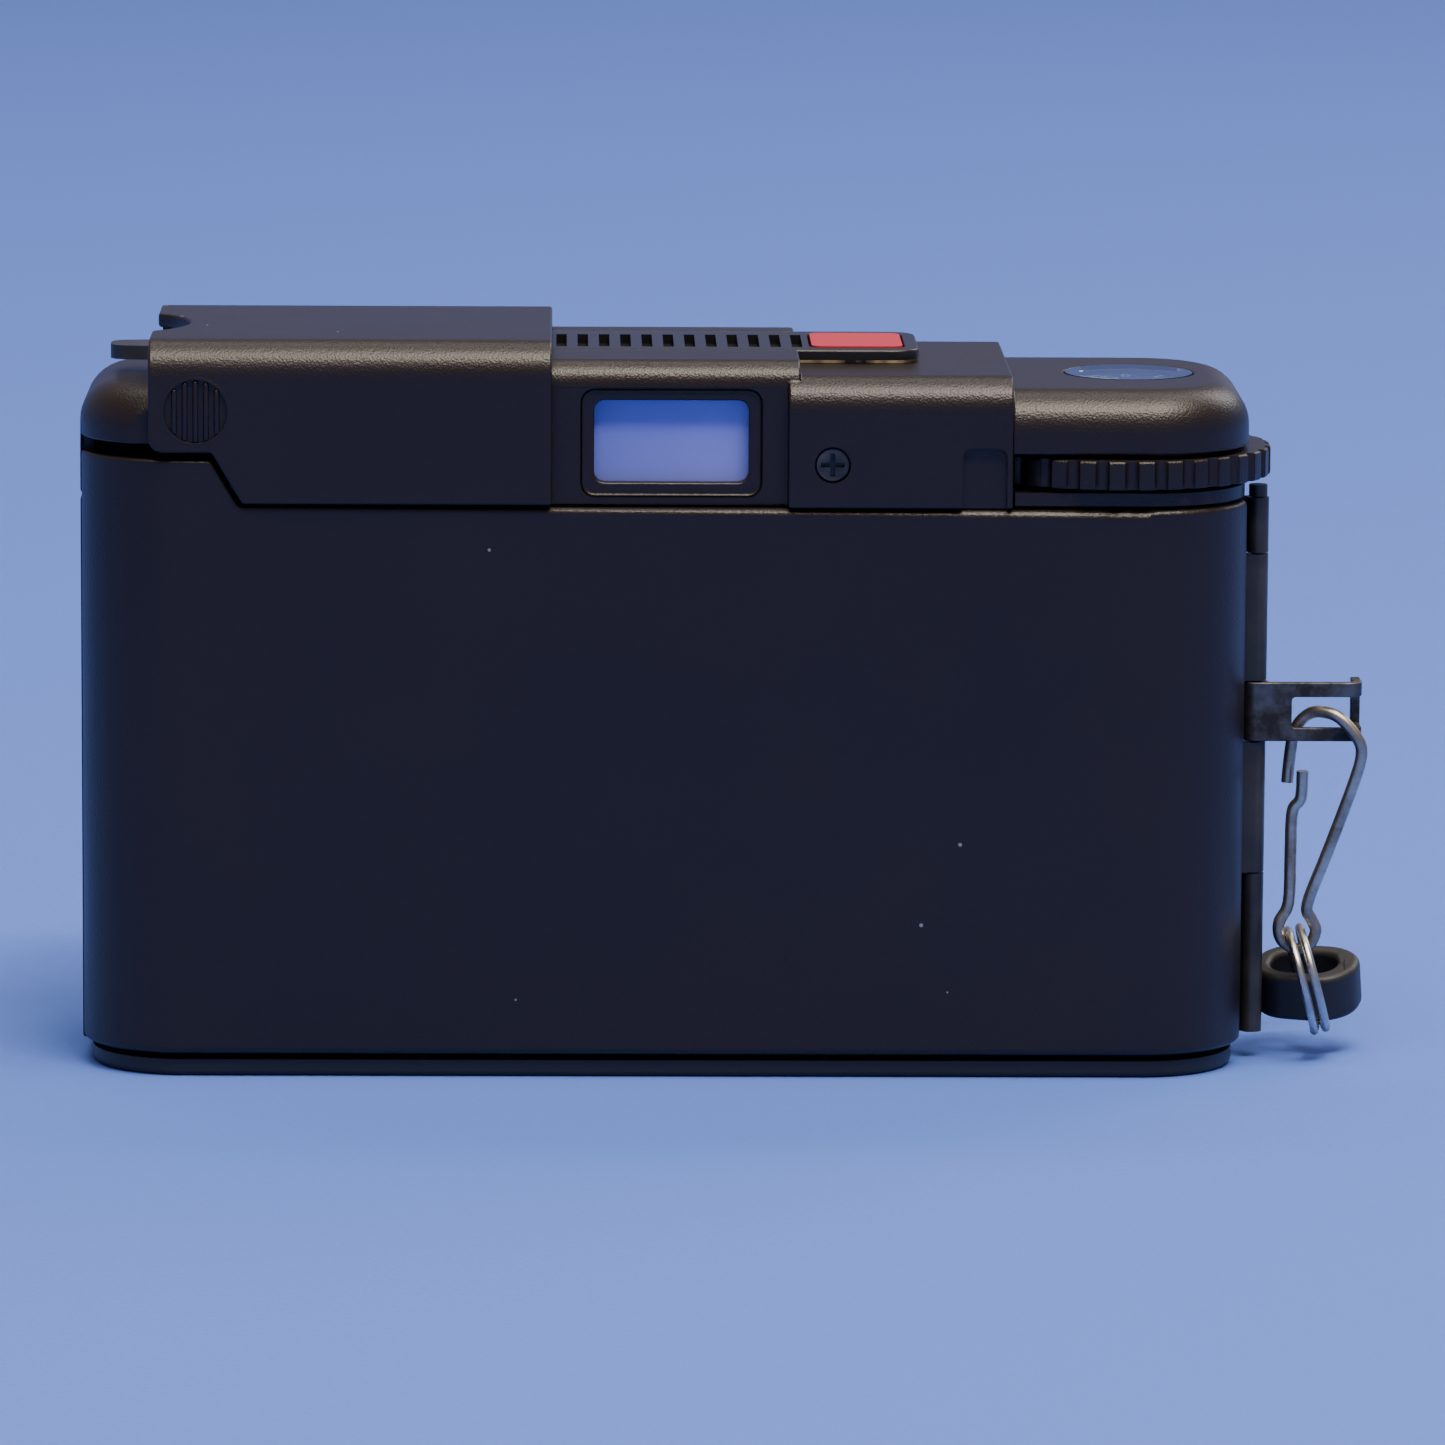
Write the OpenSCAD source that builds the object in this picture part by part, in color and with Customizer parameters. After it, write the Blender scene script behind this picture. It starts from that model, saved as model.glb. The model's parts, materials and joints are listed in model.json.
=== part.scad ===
// Compact 35 mm camera with a sliding clamshell cover, shown with the cover open.
// It stands on z = 0 with its back towards -Y, its lens towards +Y and its hinge on +X.
// The origin is under the middle of the body, on the face that it rests on.

/* [Body] */
// Width of the body across its rounded ends
body_w = 100; // [98:1:120]
// Depth of the body from the back door to the front panel
body_d = 29; // [28:0.5:35]
// Height of the back door's main panel
core_h = 47.2; // [46:0.1:57]
// Radius of the four upright corners
corner_r = 9; // [8:0.5:10]
// Wall of the moulded shells
shell_wall = 1.3; // [1.1:0.1:1.4]
// Thickness of the base plate
base_t = 1.5; // [1.4:0.1:1.8]
// Gap between the base plate and the shells above it
base_gap = 0.5; // [0.3:0.1:0.8]

/* [Top] */
// Height of the domed ends above the back door
dome_h = 10; // [9:0.5:12]
// Height of the release block above the domed ends
block_step = 1.2; // [0.8:0.1:1.6]
// Height of the ribbed strip above the release block
strip_t = 1.2; // [1:0.1:1.5]
// Depth of the ribbed strip, back to front
strip_d = 13.7; // [12:0.1:15]
// Length of the strip on the +X side of the middle
strip_reach = 21.8; // [21.5:0.1:24]
// Pitch of the slots in the strip
slot_pitch = 1.84; // [1.6:0.01:2.2]

/* [Clamshell cover] */
// Width of the cover along its slide
cover_w = 34.1; // [32:0.1:40]
// Wall of the cover
cover_wall = 1.2; // [1:0.1:1.4]
// Travel from open to closed
cover_travel = 20; // [16:0.5:24]
// Clearance between the cover and what it slides over
slide_gap = 0.3; // [0.25:0.05:0.4]
// How far the cover's dome stands in front of the body
cover_bulge = 10.7; // [9:0.1:14]

/* [Film transport] */
// Radius of the thumb wheel
wheel_r = 13.3; // [12.5:0.1:13.6]
// Thickness of the thumb wheel
wheel_t = 2.5; // [2:0.1:2.8]
// Grooves around the thumb wheel
wheel_grooves = 33; // [24:1:40]
// Radius of the film cassette chamber
cassette_r = 12.7; // [12.6:0.05:12.8]
// Width and height of the picture on the film
gate = [36, 24];
// Module of the transport gears
gear_m = 0.5; // [0.5:0.01:0.52]

/* [Lens and viewfinder] */
// Outer radius of the focus ring
focus_r = 9.3; // [8.8:0.1:9.4]
// Outer radius of the lens barrel
barrel_r = 7.7; // [7:0.1:8]
// How far the lens stands in front of the body
lens_reach = 5.3; // [4.5:0.1:7]
// Width and height of the viewfinder eyepiece
eyepiece = [13.1, 7];

/* [Hinge and strap] */
// Radius of the hinge barrel
barrel_hinge_r = 0.95; // [0.9:0.01:1]
// Radius of the hinge pin
pin_r = 0.45; // [0.4:0.01:0.5]
// Reach of the strap lug from the hinge
lug_reach = 9.2; // [8:0.1:11]
// Outer diameter of the split ring
ring_d = 9.8; // [9:0.1:11]

/* [Base fittings] */
// Radius of the tripod socket's bore
tripod_r = 2.6; // [2.5:0.05:3.2]
// Radius of a button cell
cell_r = 5.8; // [5.7:0.05:5.9]

/* [Hidden] */
$fn = 64;

hw = body_w / 2;
hd = body_d / 2;
far = 200;
fit = 0.1;
skin = 0.2;

// Heights
core_z = base_t + base_gap;
deck_z = core_z + core_h;
film_z = core_z + core_h / 2;
dome_z = deck_z + dome_h;
block_z = dome_z + block_step;
mid_z = block_z + strip_t;
step_h = 4;
step_z = deck_z + step_h;
chassis_z0 = core_z + skin;
chassis_z1 = deck_z - 0.4;
roof_t = 1.2;
chamber_z0 = chassis_z0 + 1.7;
chamber_z1 = chassis_z1 - roof_t;

// Depths
slide_y = -hd + 1;
flange_y = slide_y - slide_gap;
door_wall = 1.4;
film_y = -hd + 3.3;
chassis_y1 = hd - shell_wall - skin;
door_edge_y = -hd + 7.5;

// Stations along X
block_x0 = 10.35;
block_x1 = 29.4;
mid_x0 = -21;
cover_x1 = block_x0 - 0.05 - cover_travel;
cover_x0 = cover_x1 - cover_w;
step_x = cover_x0 + 5.3;
step_foot_x = cover_x0 + 7.65;
cassette_x = -hw + cassette_r + 1.7;
lens_x = 0.3;

// Thumb wheel and what turns with it
wheel_x = hw - 11.2;
wheel_y = -hd + wheel_r - 1.2;
plate_z0 = deck_z + 0.3;
plate_t = 1.1;
wheel_z0 = plate_z0 + plate_t + 0.4;
dome_floor_z = wheel_z0 + wheel_t + 0.4;
floor_t = 1.1;
shaft_r = 1.5;
spool_r = 8.8;
takeup_r = spool_r + 0.6;
sprocket_r = 4.5;
sprocket_x = wheel_x - 14.6;
sprocket_y = film_y + sprocket_r;
sprocket_shaft_r = 1.2;

// Gears: drive on the wheel's shaft, idler, and the sprocket's own gear
drive_teeth = 20;
idler_teeth = 18;
sprocket_teeth = 14;
gear_play = 0.12;
gear_z0 = chassis_z0 + 0.7;
gear_t = 1.4;
pocket_z1 = gear_z0 + gear_t + 0.3;
drive_idler = gear_m * (drive_teeth + idler_teeth) / 2 + gear_play;
axis_gap = norm([wheel_x - sprocket_x, wheel_y - sprocket_y]);
axis_dir = atan2(sprocket_y - wheel_y, sprocket_x - wheel_x);
sprocket_teeth_r = gear_m * sprocket_teeth / 2;
idler_min = gear_m * idler_teeth / 2 + sprocket_teeth_r + gear_play;
idler_turn = acos((drive_idler ^ 2 + axis_gap ^ 2 - idler_min ^ 2) / (2 * drive_idler * axis_gap));
idler_dir = axis_dir - idler_turn;
idler_x = wheel_x + drive_idler * cos(idler_dir);
idler_y = wheel_y + drive_idler * sin(idler_dir);
idler_phase = idler_dir + 180 + 180 / idler_teeth;
mesh_dir = atan2(sprocket_y - idler_y, sprocket_x - idler_x);
mesh_share = (mesh_dir - idler_phase) * idler_teeth / 360;
sprocket_phase = mesh_dir + 180 - (0.5 - mesh_share) * 360 / sprocket_teeth;
idler_pin_r = 1;

// Lens, shutter and viewfinder
lens_y1 = hd + lens_reach;
glass_r = barrel_r - 2.3;
bore_r = glass_r + fit;
shutter_y0 = 3;
shutter_y1 = 6;
shutter_r = 11;
blade_pivot = 7.2;
finder_x = 0.45;
finder_z = deck_z + 5.6;
tube_in = [eyepiece[0] + 0.8, eyepiece[1] + 0.8];
tube_wall = 0.8;
tube_y0 = slide_y + shell_wall + fit;
tube_y1 = hd - shell_wall - fit;
splitter_y = hd - 6.8;
range_x = 21;

// Top strip and release button
strip_y0 = -hd + 10.3;
strip_y1 = strip_y0 + strip_d;
button_x = 16.5;
button_y = strip_y0 + 6.7;
button = [7.8, 10];
button_travel = 0.8;

// Frame counter
counter_x = hw - 10;
counter_y = 0.6;
counter_r = 5.5;

// Rewind crank
crank_r = 12;
knob_r = 8.2;

// Hinge
hinge_x = hw + 1;
hinge_y = -hd + 10.5;
foot_z = core_z + 0.35;
knuckle_low = core_z + 14.4;
knuckle_high = deck_z - 5.1;
lug_z0 = film_z + 2.3;
lug_h = 5.1;
joint_gap = 0.15;
leaf_t = 0.6;

// Strap lug and what hangs from it
lug_t = 0.8;
lug_y = hinge_y - 1.15;
lug_x1 = hinge_x + lug_reach;
wire_d = 1.1;
ring_wire = 0.8;
ring_at = [hw + 5.85, hinge_y + 0.1, 6.85];
ring_tilt = -15;
strap_at = [hw + 6.2, hinge_y + 3.4, 5.9];
strap_turn = [14, 0, -20];
strap_wall = 1.4;
strap_h = 4.2;
strap_l = 9.2;
strap_w = 7.4;

// Base fittings
base_screws_at = [[-hw + 4.5, 6.5], [-20.5, -hd + 5], [14, -hd + 5], [hw - 3.1, 8.3]];
tripod_x = -14;
tripod_y = -3.5;
bush_r = 4.6;
cell_x = 10;
cell_y = 4;
cell_h = 5.2;
lever_x = -30;
lever_y = hd - 6;
lever_l = 22;

module box(x0, x1, y0, y1, z0, z1) {
    translate([x0, y0, z0]) cube([x1 - x0, y1 - y0, z1 - z0]);
}

module disc(x, y, r, z0, z1) {
    translate([x, y, z0]) cylinder(r = r, h = z1 - z0);
}

module rod_y(x, z, r, y0, y1) {
    translate([x, y0, z]) rotate([-90, 0, 0]) cylinder(r = r, h = y1 - y0);
}

module rect(a0, a1, b0, b1) {
    translate([a0, b0]) square([a1 - a0, b1 - b0]);
}

// Rectangle with its two upper corners rounded by r0 and r1
module tomb(a0, a1, b0, b1, r0, r1) {
    rect(a0, a1, b0, b1 - max(r0, r1));
    rect(a0 + r0, a1 - r1, b0, b1);
    rect(a0, a0 + r0, b0, b1 - r0);
    rect(a1 - r1, a1, b0, b1 - r1);
    translate([a0 + r0, b1 - r0]) circle(r0);
    translate([a1 - r1, b1 - r1]) circle(r1);
}

// Rectangle with all four corners rounded
module soft_rect(a0, a1, b0, b1, r) {
    rect(a0 + r, a1 - r, b0, b1);
    rect(a0, a1, b0 + r, b1 - r);
    for (a = [a0 + r, a1 - r], b = [b0 + r, b1 - r]) translate([a, b]) circle(r);
}

module soft_box(x0, x1, y0, y1, z0, z1, r) {
    translate([0, 0, z0]) linear_extrude(z1 - z0) soft_rect(x0, x1, y0, y1, r);
}

// Extrudes a section drawn in Y and Z along X, or one drawn in X and Z along Y
module along_x(x0, x1) {
    translate([x0, 0, 0]) rotate([90, 0, 90]) linear_extrude(x1 - x0) children();
}

module along_y(y0, y1) {
    translate([0, y1, 0]) rotate([90, 0, 0]) linear_extrude(y1 - y0) children();
}

// The body's outline from above, drawn in by an inset
module body_slab(inset, z0, z1) {
    soft_box(-hw + inset, hw - inset, -hd + inset, hd - inset, z0, z1, corner_r - inset);
}

function gear_points(teeth, phase) = [
    for (k = [0 : teeth - 1], s = [0 : 3])
        let (
            r = gear_m * teeth / 2 + (s == 1 || s == 2 ? 0.9 : -1.15) * gear_m,
            share = [-0.27, -0.11, 0.11, 0.27][s],
            a = phase + (k + share) * 360 / teeth
        )
        [r * cos(a), r * sin(a)]
];

module gear(x, y, teeth, phase, z0, z1) {
    translate([x, y, z0]) linear_extrude(z1 - z0) polygon(gear_points(teeth, phase));
}

// Round wire swept along a smooth curve through chosen points
function blend_at(p, i, t) =
    let (
        n = len(p) - 1,
        a = p[max(i - 1, 0)],
        b = p[i],
        c = p[min(i + 1, n)],
        d = p[min(i + 2, n)]
    )
    0.5 * (2 * b + (c - a) * t + (2 * a - 5 * b + 4 * c - d) * t ^ 2 + (3 * b - a - 3 * c + d) * t ^ 3);

function smooth_path(p, steps) = concat(
    [for (i = [0 : len(p) - 2], s = [0 : steps - 1]) blend_at(p, i, s / steps)],
    [p[len(p) - 1]]
);

function unit(v) = v / norm(v);

module wire(points, d, sides, steps) {
    path = smooth_path(points, steps);
    n = len(path);
    rings = [
        for (i = [0 : n - 1])
            let (
                t = unit(path[min(i + 1, n - 1)] - path[max(i - 1, 0)]),
                u = unit(cross(t, [0, 1, 0])),
                v = cross(t, u)
            )
            for (k = [0 : sides - 1])
                path[i] + d / 2 * (u * cos(k * 360 / sides) + v * sin(k * 360 / sides))
    ];
    walls = [
        for (i = [0 : n - 2], k = [0 : sides - 1])
            let (j = (k + 1) % sides)
            [i * sides + k, i * sides + j, (i + 1) * sides + j, (i + 1) * sides + k]
    ];
    start = [for (k = [sides - 1 : -1 : 0]) k];
    end = [for (k = [0 : sides - 1]) (n - 1) * sides + k];
    polyhedron(rings, concat([start], walls, [end]), convexity = 10);
}

// ---- fixed frame ----

module film_path_cuts() {
    disc(cassette_x, 0, cassette_r, chamber_z0, chamber_z1);
    box(cassette_x - cassette_r, cassette_x + cassette_r, -far, 0, chamber_z0, chamber_z1);
    disc(cassette_x, 0, 4.5, -1, chamber_z0 + 1);
    disc(cassette_x, 0, 2.2, chamber_z1 - 1, far);
    disc(wheel_x, wheel_y, takeup_r, pocket_z1 + 0.6, chamber_z1);
    box(wheel_x - takeup_r, hw, -far, wheel_y, pocket_z1 + 0.6, chamber_z1);
    disc(wheel_x, wheel_y, shaft_r + fit, 0, far);
    disc(sprocket_x, sprocket_y, sprocket_r + 1.4, pocket_z1 + 0.6, chamber_z1);
    disc(sprocket_x, sprocket_y, sprocket_shaft_r + fit, 0, chassis_z1 - 0.3);
    box(lens_x - gate[0] / 2, lens_x + gate[0] / 2, -far, -2, film_z - gate[1] / 2, film_z + gate[1] / 2);
    box(lens_x - 13, lens_x + 13, -3, shutter_y0 + 1, film_z - 10, film_z + 10);
}

module shutter_cuts() {
    rod_y(lens_x, film_z, shutter_r + skin, shutter_y0, shutter_y1 + 0.1);
    rod_y(lens_x, film_z, barrel_r + fit, shutter_y0, far);
}

module chassis() {
    color("#2b2b2e") difference() {
        union() {
            difference() {
                body_slab(shell_wall + skin, chassis_z0, chassis_z1);
                box(-far, far, -far, film_y, -1, far);
            }
            for (side = [-1, 1]) {
                rail_z = film_z + side * (gate[1] / 2 + 1.6);
                box(-20, 17.6, film_y - 0.4, film_y + 0.1, rail_z - 0.6, rail_z + 0.6);
            }
            box(button_x - 5.4, button_x + 0.6, film_y, film_y + 5, chassis_z1 - 0.1, deck_z + 7);
        }
        film_path_cuts();
        shutter_cuts();
        box(sprocket_x - 7.2, wheel_x + 6.4, film_y + 0.3, hd - 3, 0, pocket_z1);
        disc(tripod_x, tripod_y, bush_r + fit, 0, 7.7);
        disc(cell_x, cell_y, cell_r + 0.25, 0, core_z + 2 * cell_h + 0.9);
        box(hw - 3, far, -far, hinge_y + 1.2, -1, far);
        box(-far, -hw + 3.1, -far, -1.2, film_z + 1.4, far);
        disc(lever_x, lever_y, 1.05, 0, core_z + 1.5);
        rod_y(button_x - 2.4, deck_z + 3.8, 0.8, -far, film_y + 4.5);
        base_screw_holes(0.75);
    }
    color("#9a9a9c") disc(idler_x, idler_y, idler_pin_r, gear_z0, pocket_z1 + 0.1);
}

module front_cover() {
    rail = [cover_x0 + 1, block_x0 - 0.1];
    color("#202024") difference() {
        union() {
            difference() {
                body_slab(0, core_z, chassis_z1 + 0.2);
                body_slab(shell_wall, 0, far);
                box(-far, 0, -far, door_edge_y + 0.4, 0, far);
                box(0, far, -far, hinge_y + 1.4, 0, far);
            }
            box(rail[0], rail[1], hd - 0.1, hd + 1.5, core_z + 2.6, core_z + 3.6);
        }
        rod_y(lens_x, film_z, barrel_r + fit, 0, far);
        box(6.9, 8.1, 0, far, film_z + 11.6, film_z + 21.7);
        box(-5.4, 7.4, 0, far, core_z + 5, core_z + 6.2);
        rod_y(-5.6, film_z + 16, 1.9, 0, far);
        box(hw - leaf_t, far, hinge_y, hinge_y + 5.2, foot_z - 0.1, deck_z);
    }
}

module dome_shape(g) {
    intersection() {
        body_slab(g, deck_z + skin - 2 * g, dome_z - g);
        along_x(-far, far) tomb(-hd + g, hd - g, 0, dome_z - g, 3.5 - g, 3.5 - g);
        along_y(-far, far) tomb(-hw + g, hw - g, 0, dome_z - g, 4.5 - g, 4.5 - g);
    }
}

module mid_shape(g) {
    along_x(mid_x0 + g, block_x0 + 1) {
        tomb(slide_y + g, hd - g, deck_z + 0.1 - 2 * g, mid_z - g, 2.5 - g, 2 - g);
    }
}

module block_shape(g) {
    along_x(block_x0 + g, block_x1 - g) {
        tomb(-hd - 0.3 + g, hd + 0.7 - g, deck_z + 0.1 - 2 * g, block_z - g, 3 - g, 2.5 - g);
    }
}

module top_cover() {
    inner = block_z - roof_t;
    color("#202024") difference() {
        union() {
            difference() {
                dome_shape(0);
                box(-far, block_x0, -far, slide_y, 0, far);
            }
            mid_shape(0);
            block_shape(0);
        }
        difference() {
            dome_shape(shell_wall);
            box(-far, block_x0, -far, slide_y + shell_wall, 0, far);
            box(block_x1, far, -far, far, dome_floor_z, dome_floor_z + floor_t);
        }
        box(mid_x0 + shell_wall, block_x1 - shell_wall, tube_y0 - fit, hd - shell_wall, deck_z - 1, inner);
        box(block_x0 + 1.3, block_x1 - shell_wall, -hd + 1, hd - 0.6, deck_z - 1, inner - 1);
        // room for the raised end of the back door
        box(-far, step_foot_x + 0.5, -far, door_edge_y + 0.4, 0, step_z + 1.2);
        // slot for the thumb wheel and the plate under it
        box(block_x1, far, -far, 6.3, 0, dome_floor_z);
        disc(wheel_x, wheel_y, wheel_r + 0.5, plate_z0 + plate_t + 0.1, dome_floor_z);
        disc(wheel_x, wheel_y, 2.2, 0, dome_floor_z + 0.6);
        // recess that the ribbed strip sits in
        box(mid_x0 + 1, block_x0 + 2, strip_y0 - 0.2, strip_y1 + 0.2, block_z, far);
        soft_box(button_x - button[0] / 2 - 0.2, button_x + button[0] / 2 + 0.2,
            button_y - button[1] / 2 - 0.2, button_y + button[1] / 2 + 0.2, dome_z - 1, far, 1.2);
        // windows
        eye_window(-far, 0, 0);
        eye_window(0, far, 0);
        rod_y(range_x, finder_z, 2.2, 0, far);
        disc(counter_x, counter_y, counter_r + fit, dome_z - 2, far);
        disc(cassette_x, 0, 2.2, 0, far);
        // fixing screw and thumb scoop at the back
        rod_y(button_x - 2.4, deck_z + 3.8, 1.55, -far, -hd + 0.9);
        rod_y(button_x - 2.4, deck_z + 3.8, 0.85, -far, 0);
        along_y(-far, -hd + 0.5) tomb(block_x1 - 4.3, block_x1 - 0.5, 0, deck_z + 5.3, 0.8, 0.8);
    }
}

module eye_window(y0, y1, grow) {
    w = eyepiece[0] / 2 + grow;
    h = eyepiece[1] / 2 + grow;
    along_y(y0, y1) soft_rect(finder_x - w, finder_x + w, finder_z - h, finder_z + h, 0.9);
}

module base_screw_holes(r) {
    for (p = base_screws_at) {
        disc(p[0], p[1], r, -1, core_z + 1.7);
    }
}

module base_plate() {
    color("#202024") difference() {
        union() {
            body_slab(1.3, 0, base_t);
            body_slab(0.8, 0.5, base_t);
        }
        disc(tripod_x, tripod_y, bush_r + fit, -1, far);
        disc(cell_x, cell_y, cell_r + 1.3, -1, far);
        disc(sprocket_x, sprocket_y, 1.75, -1, far);
        box(lever_x - 3.2, lever_x + lever_l + 0.6, lever_y - 2.9, far, -1, far);
        base_screw_holes(1.5);
    }
}

module wheel_plate() {
    color("#27272b") difference() {
        intersection() {
            body_slab(0.3, plate_z0, plate_z0 + plate_t);
            box(block_x1 + 0.2, far, -far, 6, 0, far);
        }
        disc(wheel_x, wheel_y, shaft_r + 0.3, 0, far);
    }
}

module top_strip() {
    slots = floor((block_x0 + 1 - mid_x0) / slot_pitch) - 1;
    color("#1c1c20") difference() {
        union() {
            box(mid_x0 + 1.2, strip_reach - 3, strip_y0, strip_y1, block_z, mid_z);
            soft_box(strip_reach - 10, strip_reach, strip_y0, strip_y1, block_z, mid_z, 2.2);
        }
        for (k = [0 : slots - 1]) {
            x = block_x0 + 1 - k * slot_pitch;
            box(x - 0.45, x + 0.45, strip_y0 + 1.8, strip_y0 + 10.8, block_z + 0.4, far);
        }
        soft_box(button_x - button[0] / 2 - 0.2, button_x + button[0] / 2 + 0.2,
            button_y - button[1] / 2 - 0.2, button_y + button[1] / 2 + 0.2, 0, far, 1.2);
    }
}

module knuckle(z0, z1) {
    difference() {
        disc(hinge_x, hinge_y, barrel_hinge_r, z0, z1);
        disc(hinge_x, hinge_y, pin_r + 0.04, z0 - 1, z1 + 1);
    }
}

module body_knuckle(z0, z1) {
    web_y = hinge_y + barrel_hinge_r;
    knuckle(z0, z1);
    difference() {
        box(hw - leaf_t, hinge_x, web_y - 0.45, web_y, z0, z1);
        disc(hinge_x, hinge_y, pin_r + 0.04, 0, far);
    }
}

module hinge_leaf() {
    color("#26262a") union() {
        body_knuckle(foot_z, knuckle_low - joint_gap);
        body_knuckle(knuckle_high + joint_gap, deck_z - 0.2);
        box(hw - leaf_t, hw, hinge_y + 0.5, hinge_y + 5, foot_z, knuckle_low - joint_gap);
        box(hw - leaf_t, hw, hinge_y + 0.5, hinge_y + 5, knuckle_high + joint_gap, chassis_z1);
        box(hw - leaf_t, hw, hinge_y + 2.6, hinge_y + 5, foot_z, chassis_z1);
    }
}

module hinge_pin() {
    color("#303034") union() {
        disc(hinge_x, hinge_y, pin_r, foot_z, deck_z - 0.1);
        disc(hinge_x, hinge_y, barrel_hinge_r - 0.15, deck_z - 0.1, deck_z + 0.9);
    }
}

module tripod_bush() {
    color("#b8b8bc") difference() {
        disc(tripod_x, tripod_y, bush_r, 0.1, 7.5);
        disc(tripod_x, tripod_y, tripod_r, -1, 6.5);
    }
}

module batteries() {
    color("#c9c9cc") for (k = [0, 1]) {
        z = base_t + 0.1 + k * (cell_h + 0.05);
        disc(cell_x, cell_y, cell_r, z, z + cell_h);
    }
}

module circuit_board() {
    color("#2e5b35") box(-19, 20, hinge_y - 1, hd - 2, chassis_z1 + skin, chassis_z1 + 1);
}

module release_switch() {
    color("#8c8478") box(button_x - 2.5, button_x + 2.5, button_y - 3, button_y + 2.2,
        chassis_z1 + 1, dome_z - 1.7);
}

// ---- viewfinder and rangefinder ----

module viewfinder_tube() {
    w = tube_in[0] / 2;
    h = tube_in[1] / 2;
    color("#1a1a1c") difference() {
        box(finder_x - w - tube_wall, finder_x + w + tube_wall, tube_y0, tube_y1,
            finder_z - h - tube_wall, finder_z + h - 0.1);
        box(finder_x - w, finder_x + w, -far, far, finder_z - h, finder_z + h + 1);
        box(finder_x, far, splitter_y - 3, splitter_y + 3, finder_z - 2, finder_z + 2);
    }
}

module finder_glass(y0, y1) {
    w = tube_in[0] / 2 - 0.05;
    h = tube_in[1] / 2 - 0.15;
    box(finder_x - w, finder_x + w, y0, y1, finder_z - h, finder_z + h);
}

module viewfinder_lens() {
    color("#bcd0e0", 0.5) finder_glass(tube_y1 - 1.6, tube_y1 - 0.2);
}

module eyepiece_lens() {
    color("#bcd0e0", 0.5) finder_glass(tube_y0 + 0.05, tube_y0 + 1.2);
}

module beam_splitter() {
    color("#c8b890", 0.5) translate([finder_x, splitter_y, finder_z]) rotate([0, 0, 45])
        translate([-3.6, -0.3, -3.3]) cube([7.2, 0.6, 6.6]);
}

module rangefinder_window() {
    color("#c8d8e8", 0.5) rod_y(range_x, finder_z, 2.1, hd - 1.4, hd + 0.5);
}

module rangefinder_mirror() {
    color("#d0d4d8") translate([range_x, splitter_y, finder_z]) rotate([0, 0, 45]) {
        translate([-2.6, -0.4, -2.2]) cube([5.2, 0.8, 4.4]);
    }
    color("#d0d4d8") disc(range_x, splitter_y, 0.4, chassis_z1 + 0.2, finder_z);
}

// ---- lens and shutter ----

module lens_barrel() {
    color("#18181a") difference() {
        rod_y(lens_x, film_z, barrel_r, shutter_y1 + 0.2, lens_y1 - 1.4);
        rod_y(lens_x, film_z, bore_r, 0, far);
    }
}

module lens_bezel() {
    color("#1c1c1e") difference() {
        union() {
            rod_y(lens_x, film_z, focus_r - 0.1, lens_y1 - 1.4, lens_y1 - 0.6);
            rod_y(lens_x, film_z, focus_r - 0.7, lens_y1 - 1.4, lens_y1);
        }
        translate([lens_x, lens_y1 + 0.05, film_z]) rotate([90, 0, 0])
            cylinder(r1 = focus_r - 1.6, r2 = 4.6, h = 1.5);
    }
}

module lens_disc(y0, t, crown) {
    translate([lens_x, y0, film_z]) rotate([-90, 0, 0]) union() {
        cylinder(r = glass_r, h = t);
        intersection() {
            cylinder(r = glass_r, h = t + crown);
            r = (glass_r ^ 2 + crown ^ 2) / (2 * crown);
            translate([0, 0, t + crown - r]) sphere(r = r, $fn = 200);
        }
    }
}

module lens_front() {
    color("#b8c4e8", 0.5) lens_disc(lens_y1 - 3.4, 1.2, 0.7);
}

module lens_rear() {
    color("#b8c4e8", 0.5) lens_disc(8.4, 1.2, 0.6);
}

module aperture_plate() {
    color("#202022") difference() {
        rod_y(lens_x, film_z, glass_r, 11.6, 12);
        rod_y(lens_x, film_z, 2.2, 0, far);
    }
}

module shutter_plate() {
    color("#77777a") union() {
        difference() {
            rod_y(lens_x, film_z, shutter_r, shutter_y1 - 0.9, shutter_y1);
            rod_y(lens_x, film_z, 4.2, 0, far);
        }
        rod_y(lens_x, film_z + blade_pivot, 0.6, shutter_y0 + 1.1, shutter_y1);
    }
}

module shutter_blade(side, y0) {
    color("#4a4a4e") translate([lens_x, y0 + 0.3, film_z]) rotate([90, 0, 0]) linear_extrude(0.3) {
        difference() {
            union() {
                intersection() {
                    circle(5);
                    if (side < 0) rect(-6, 0.5, -6, 6);
                    if (side > 0) rect(-0.5, 6, -6, 6);
                }
                rect(-1, 1, 4, blade_pivot);
                translate([0, blade_pivot]) circle(1.4);
            }
            translate([0, blade_pivot]) circle(0.65);
        }
    }
}

module shutter_blade_left() { shutter_blade(-1, shutter_y0 + 1.2); }

module shutter_blade_right() { shutter_blade(1, shutter_y0 + 1.65); }

module focus_ring() {
    grip_z = film_z - focus_r - 5;
    color("#1c1c1e") union() {
        difference() {
            rod_y(lens_x, film_z, focus_r, hd + 0.3, lens_y1 - 1.6);
            rod_y(lens_x, film_z, barrel_r + fit, 0, far);
        }
        box(lens_x - 1.8, lens_x + 1.8, hd + 0.5, hd + 1.7, grip_z, film_z - focus_r + 0.6);
        box(lens_x - 2.4, lens_x + 2.4, hd + 0.5, hd + 3.4, grip_z - 1.2, grip_z + 0.6);
    }
}

module aperture_lever() {
    top = film_z + 21.4;
    color("#1c1c1e") union() {
        box(6.1, 8.9, hd + 0.2, hd + 1.6, top - 2.6, top);
        box(7.1, 7.9, hd - shell_wall, hd + 0.3, top - 2.2, top - 0.4);
    }
}

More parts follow.
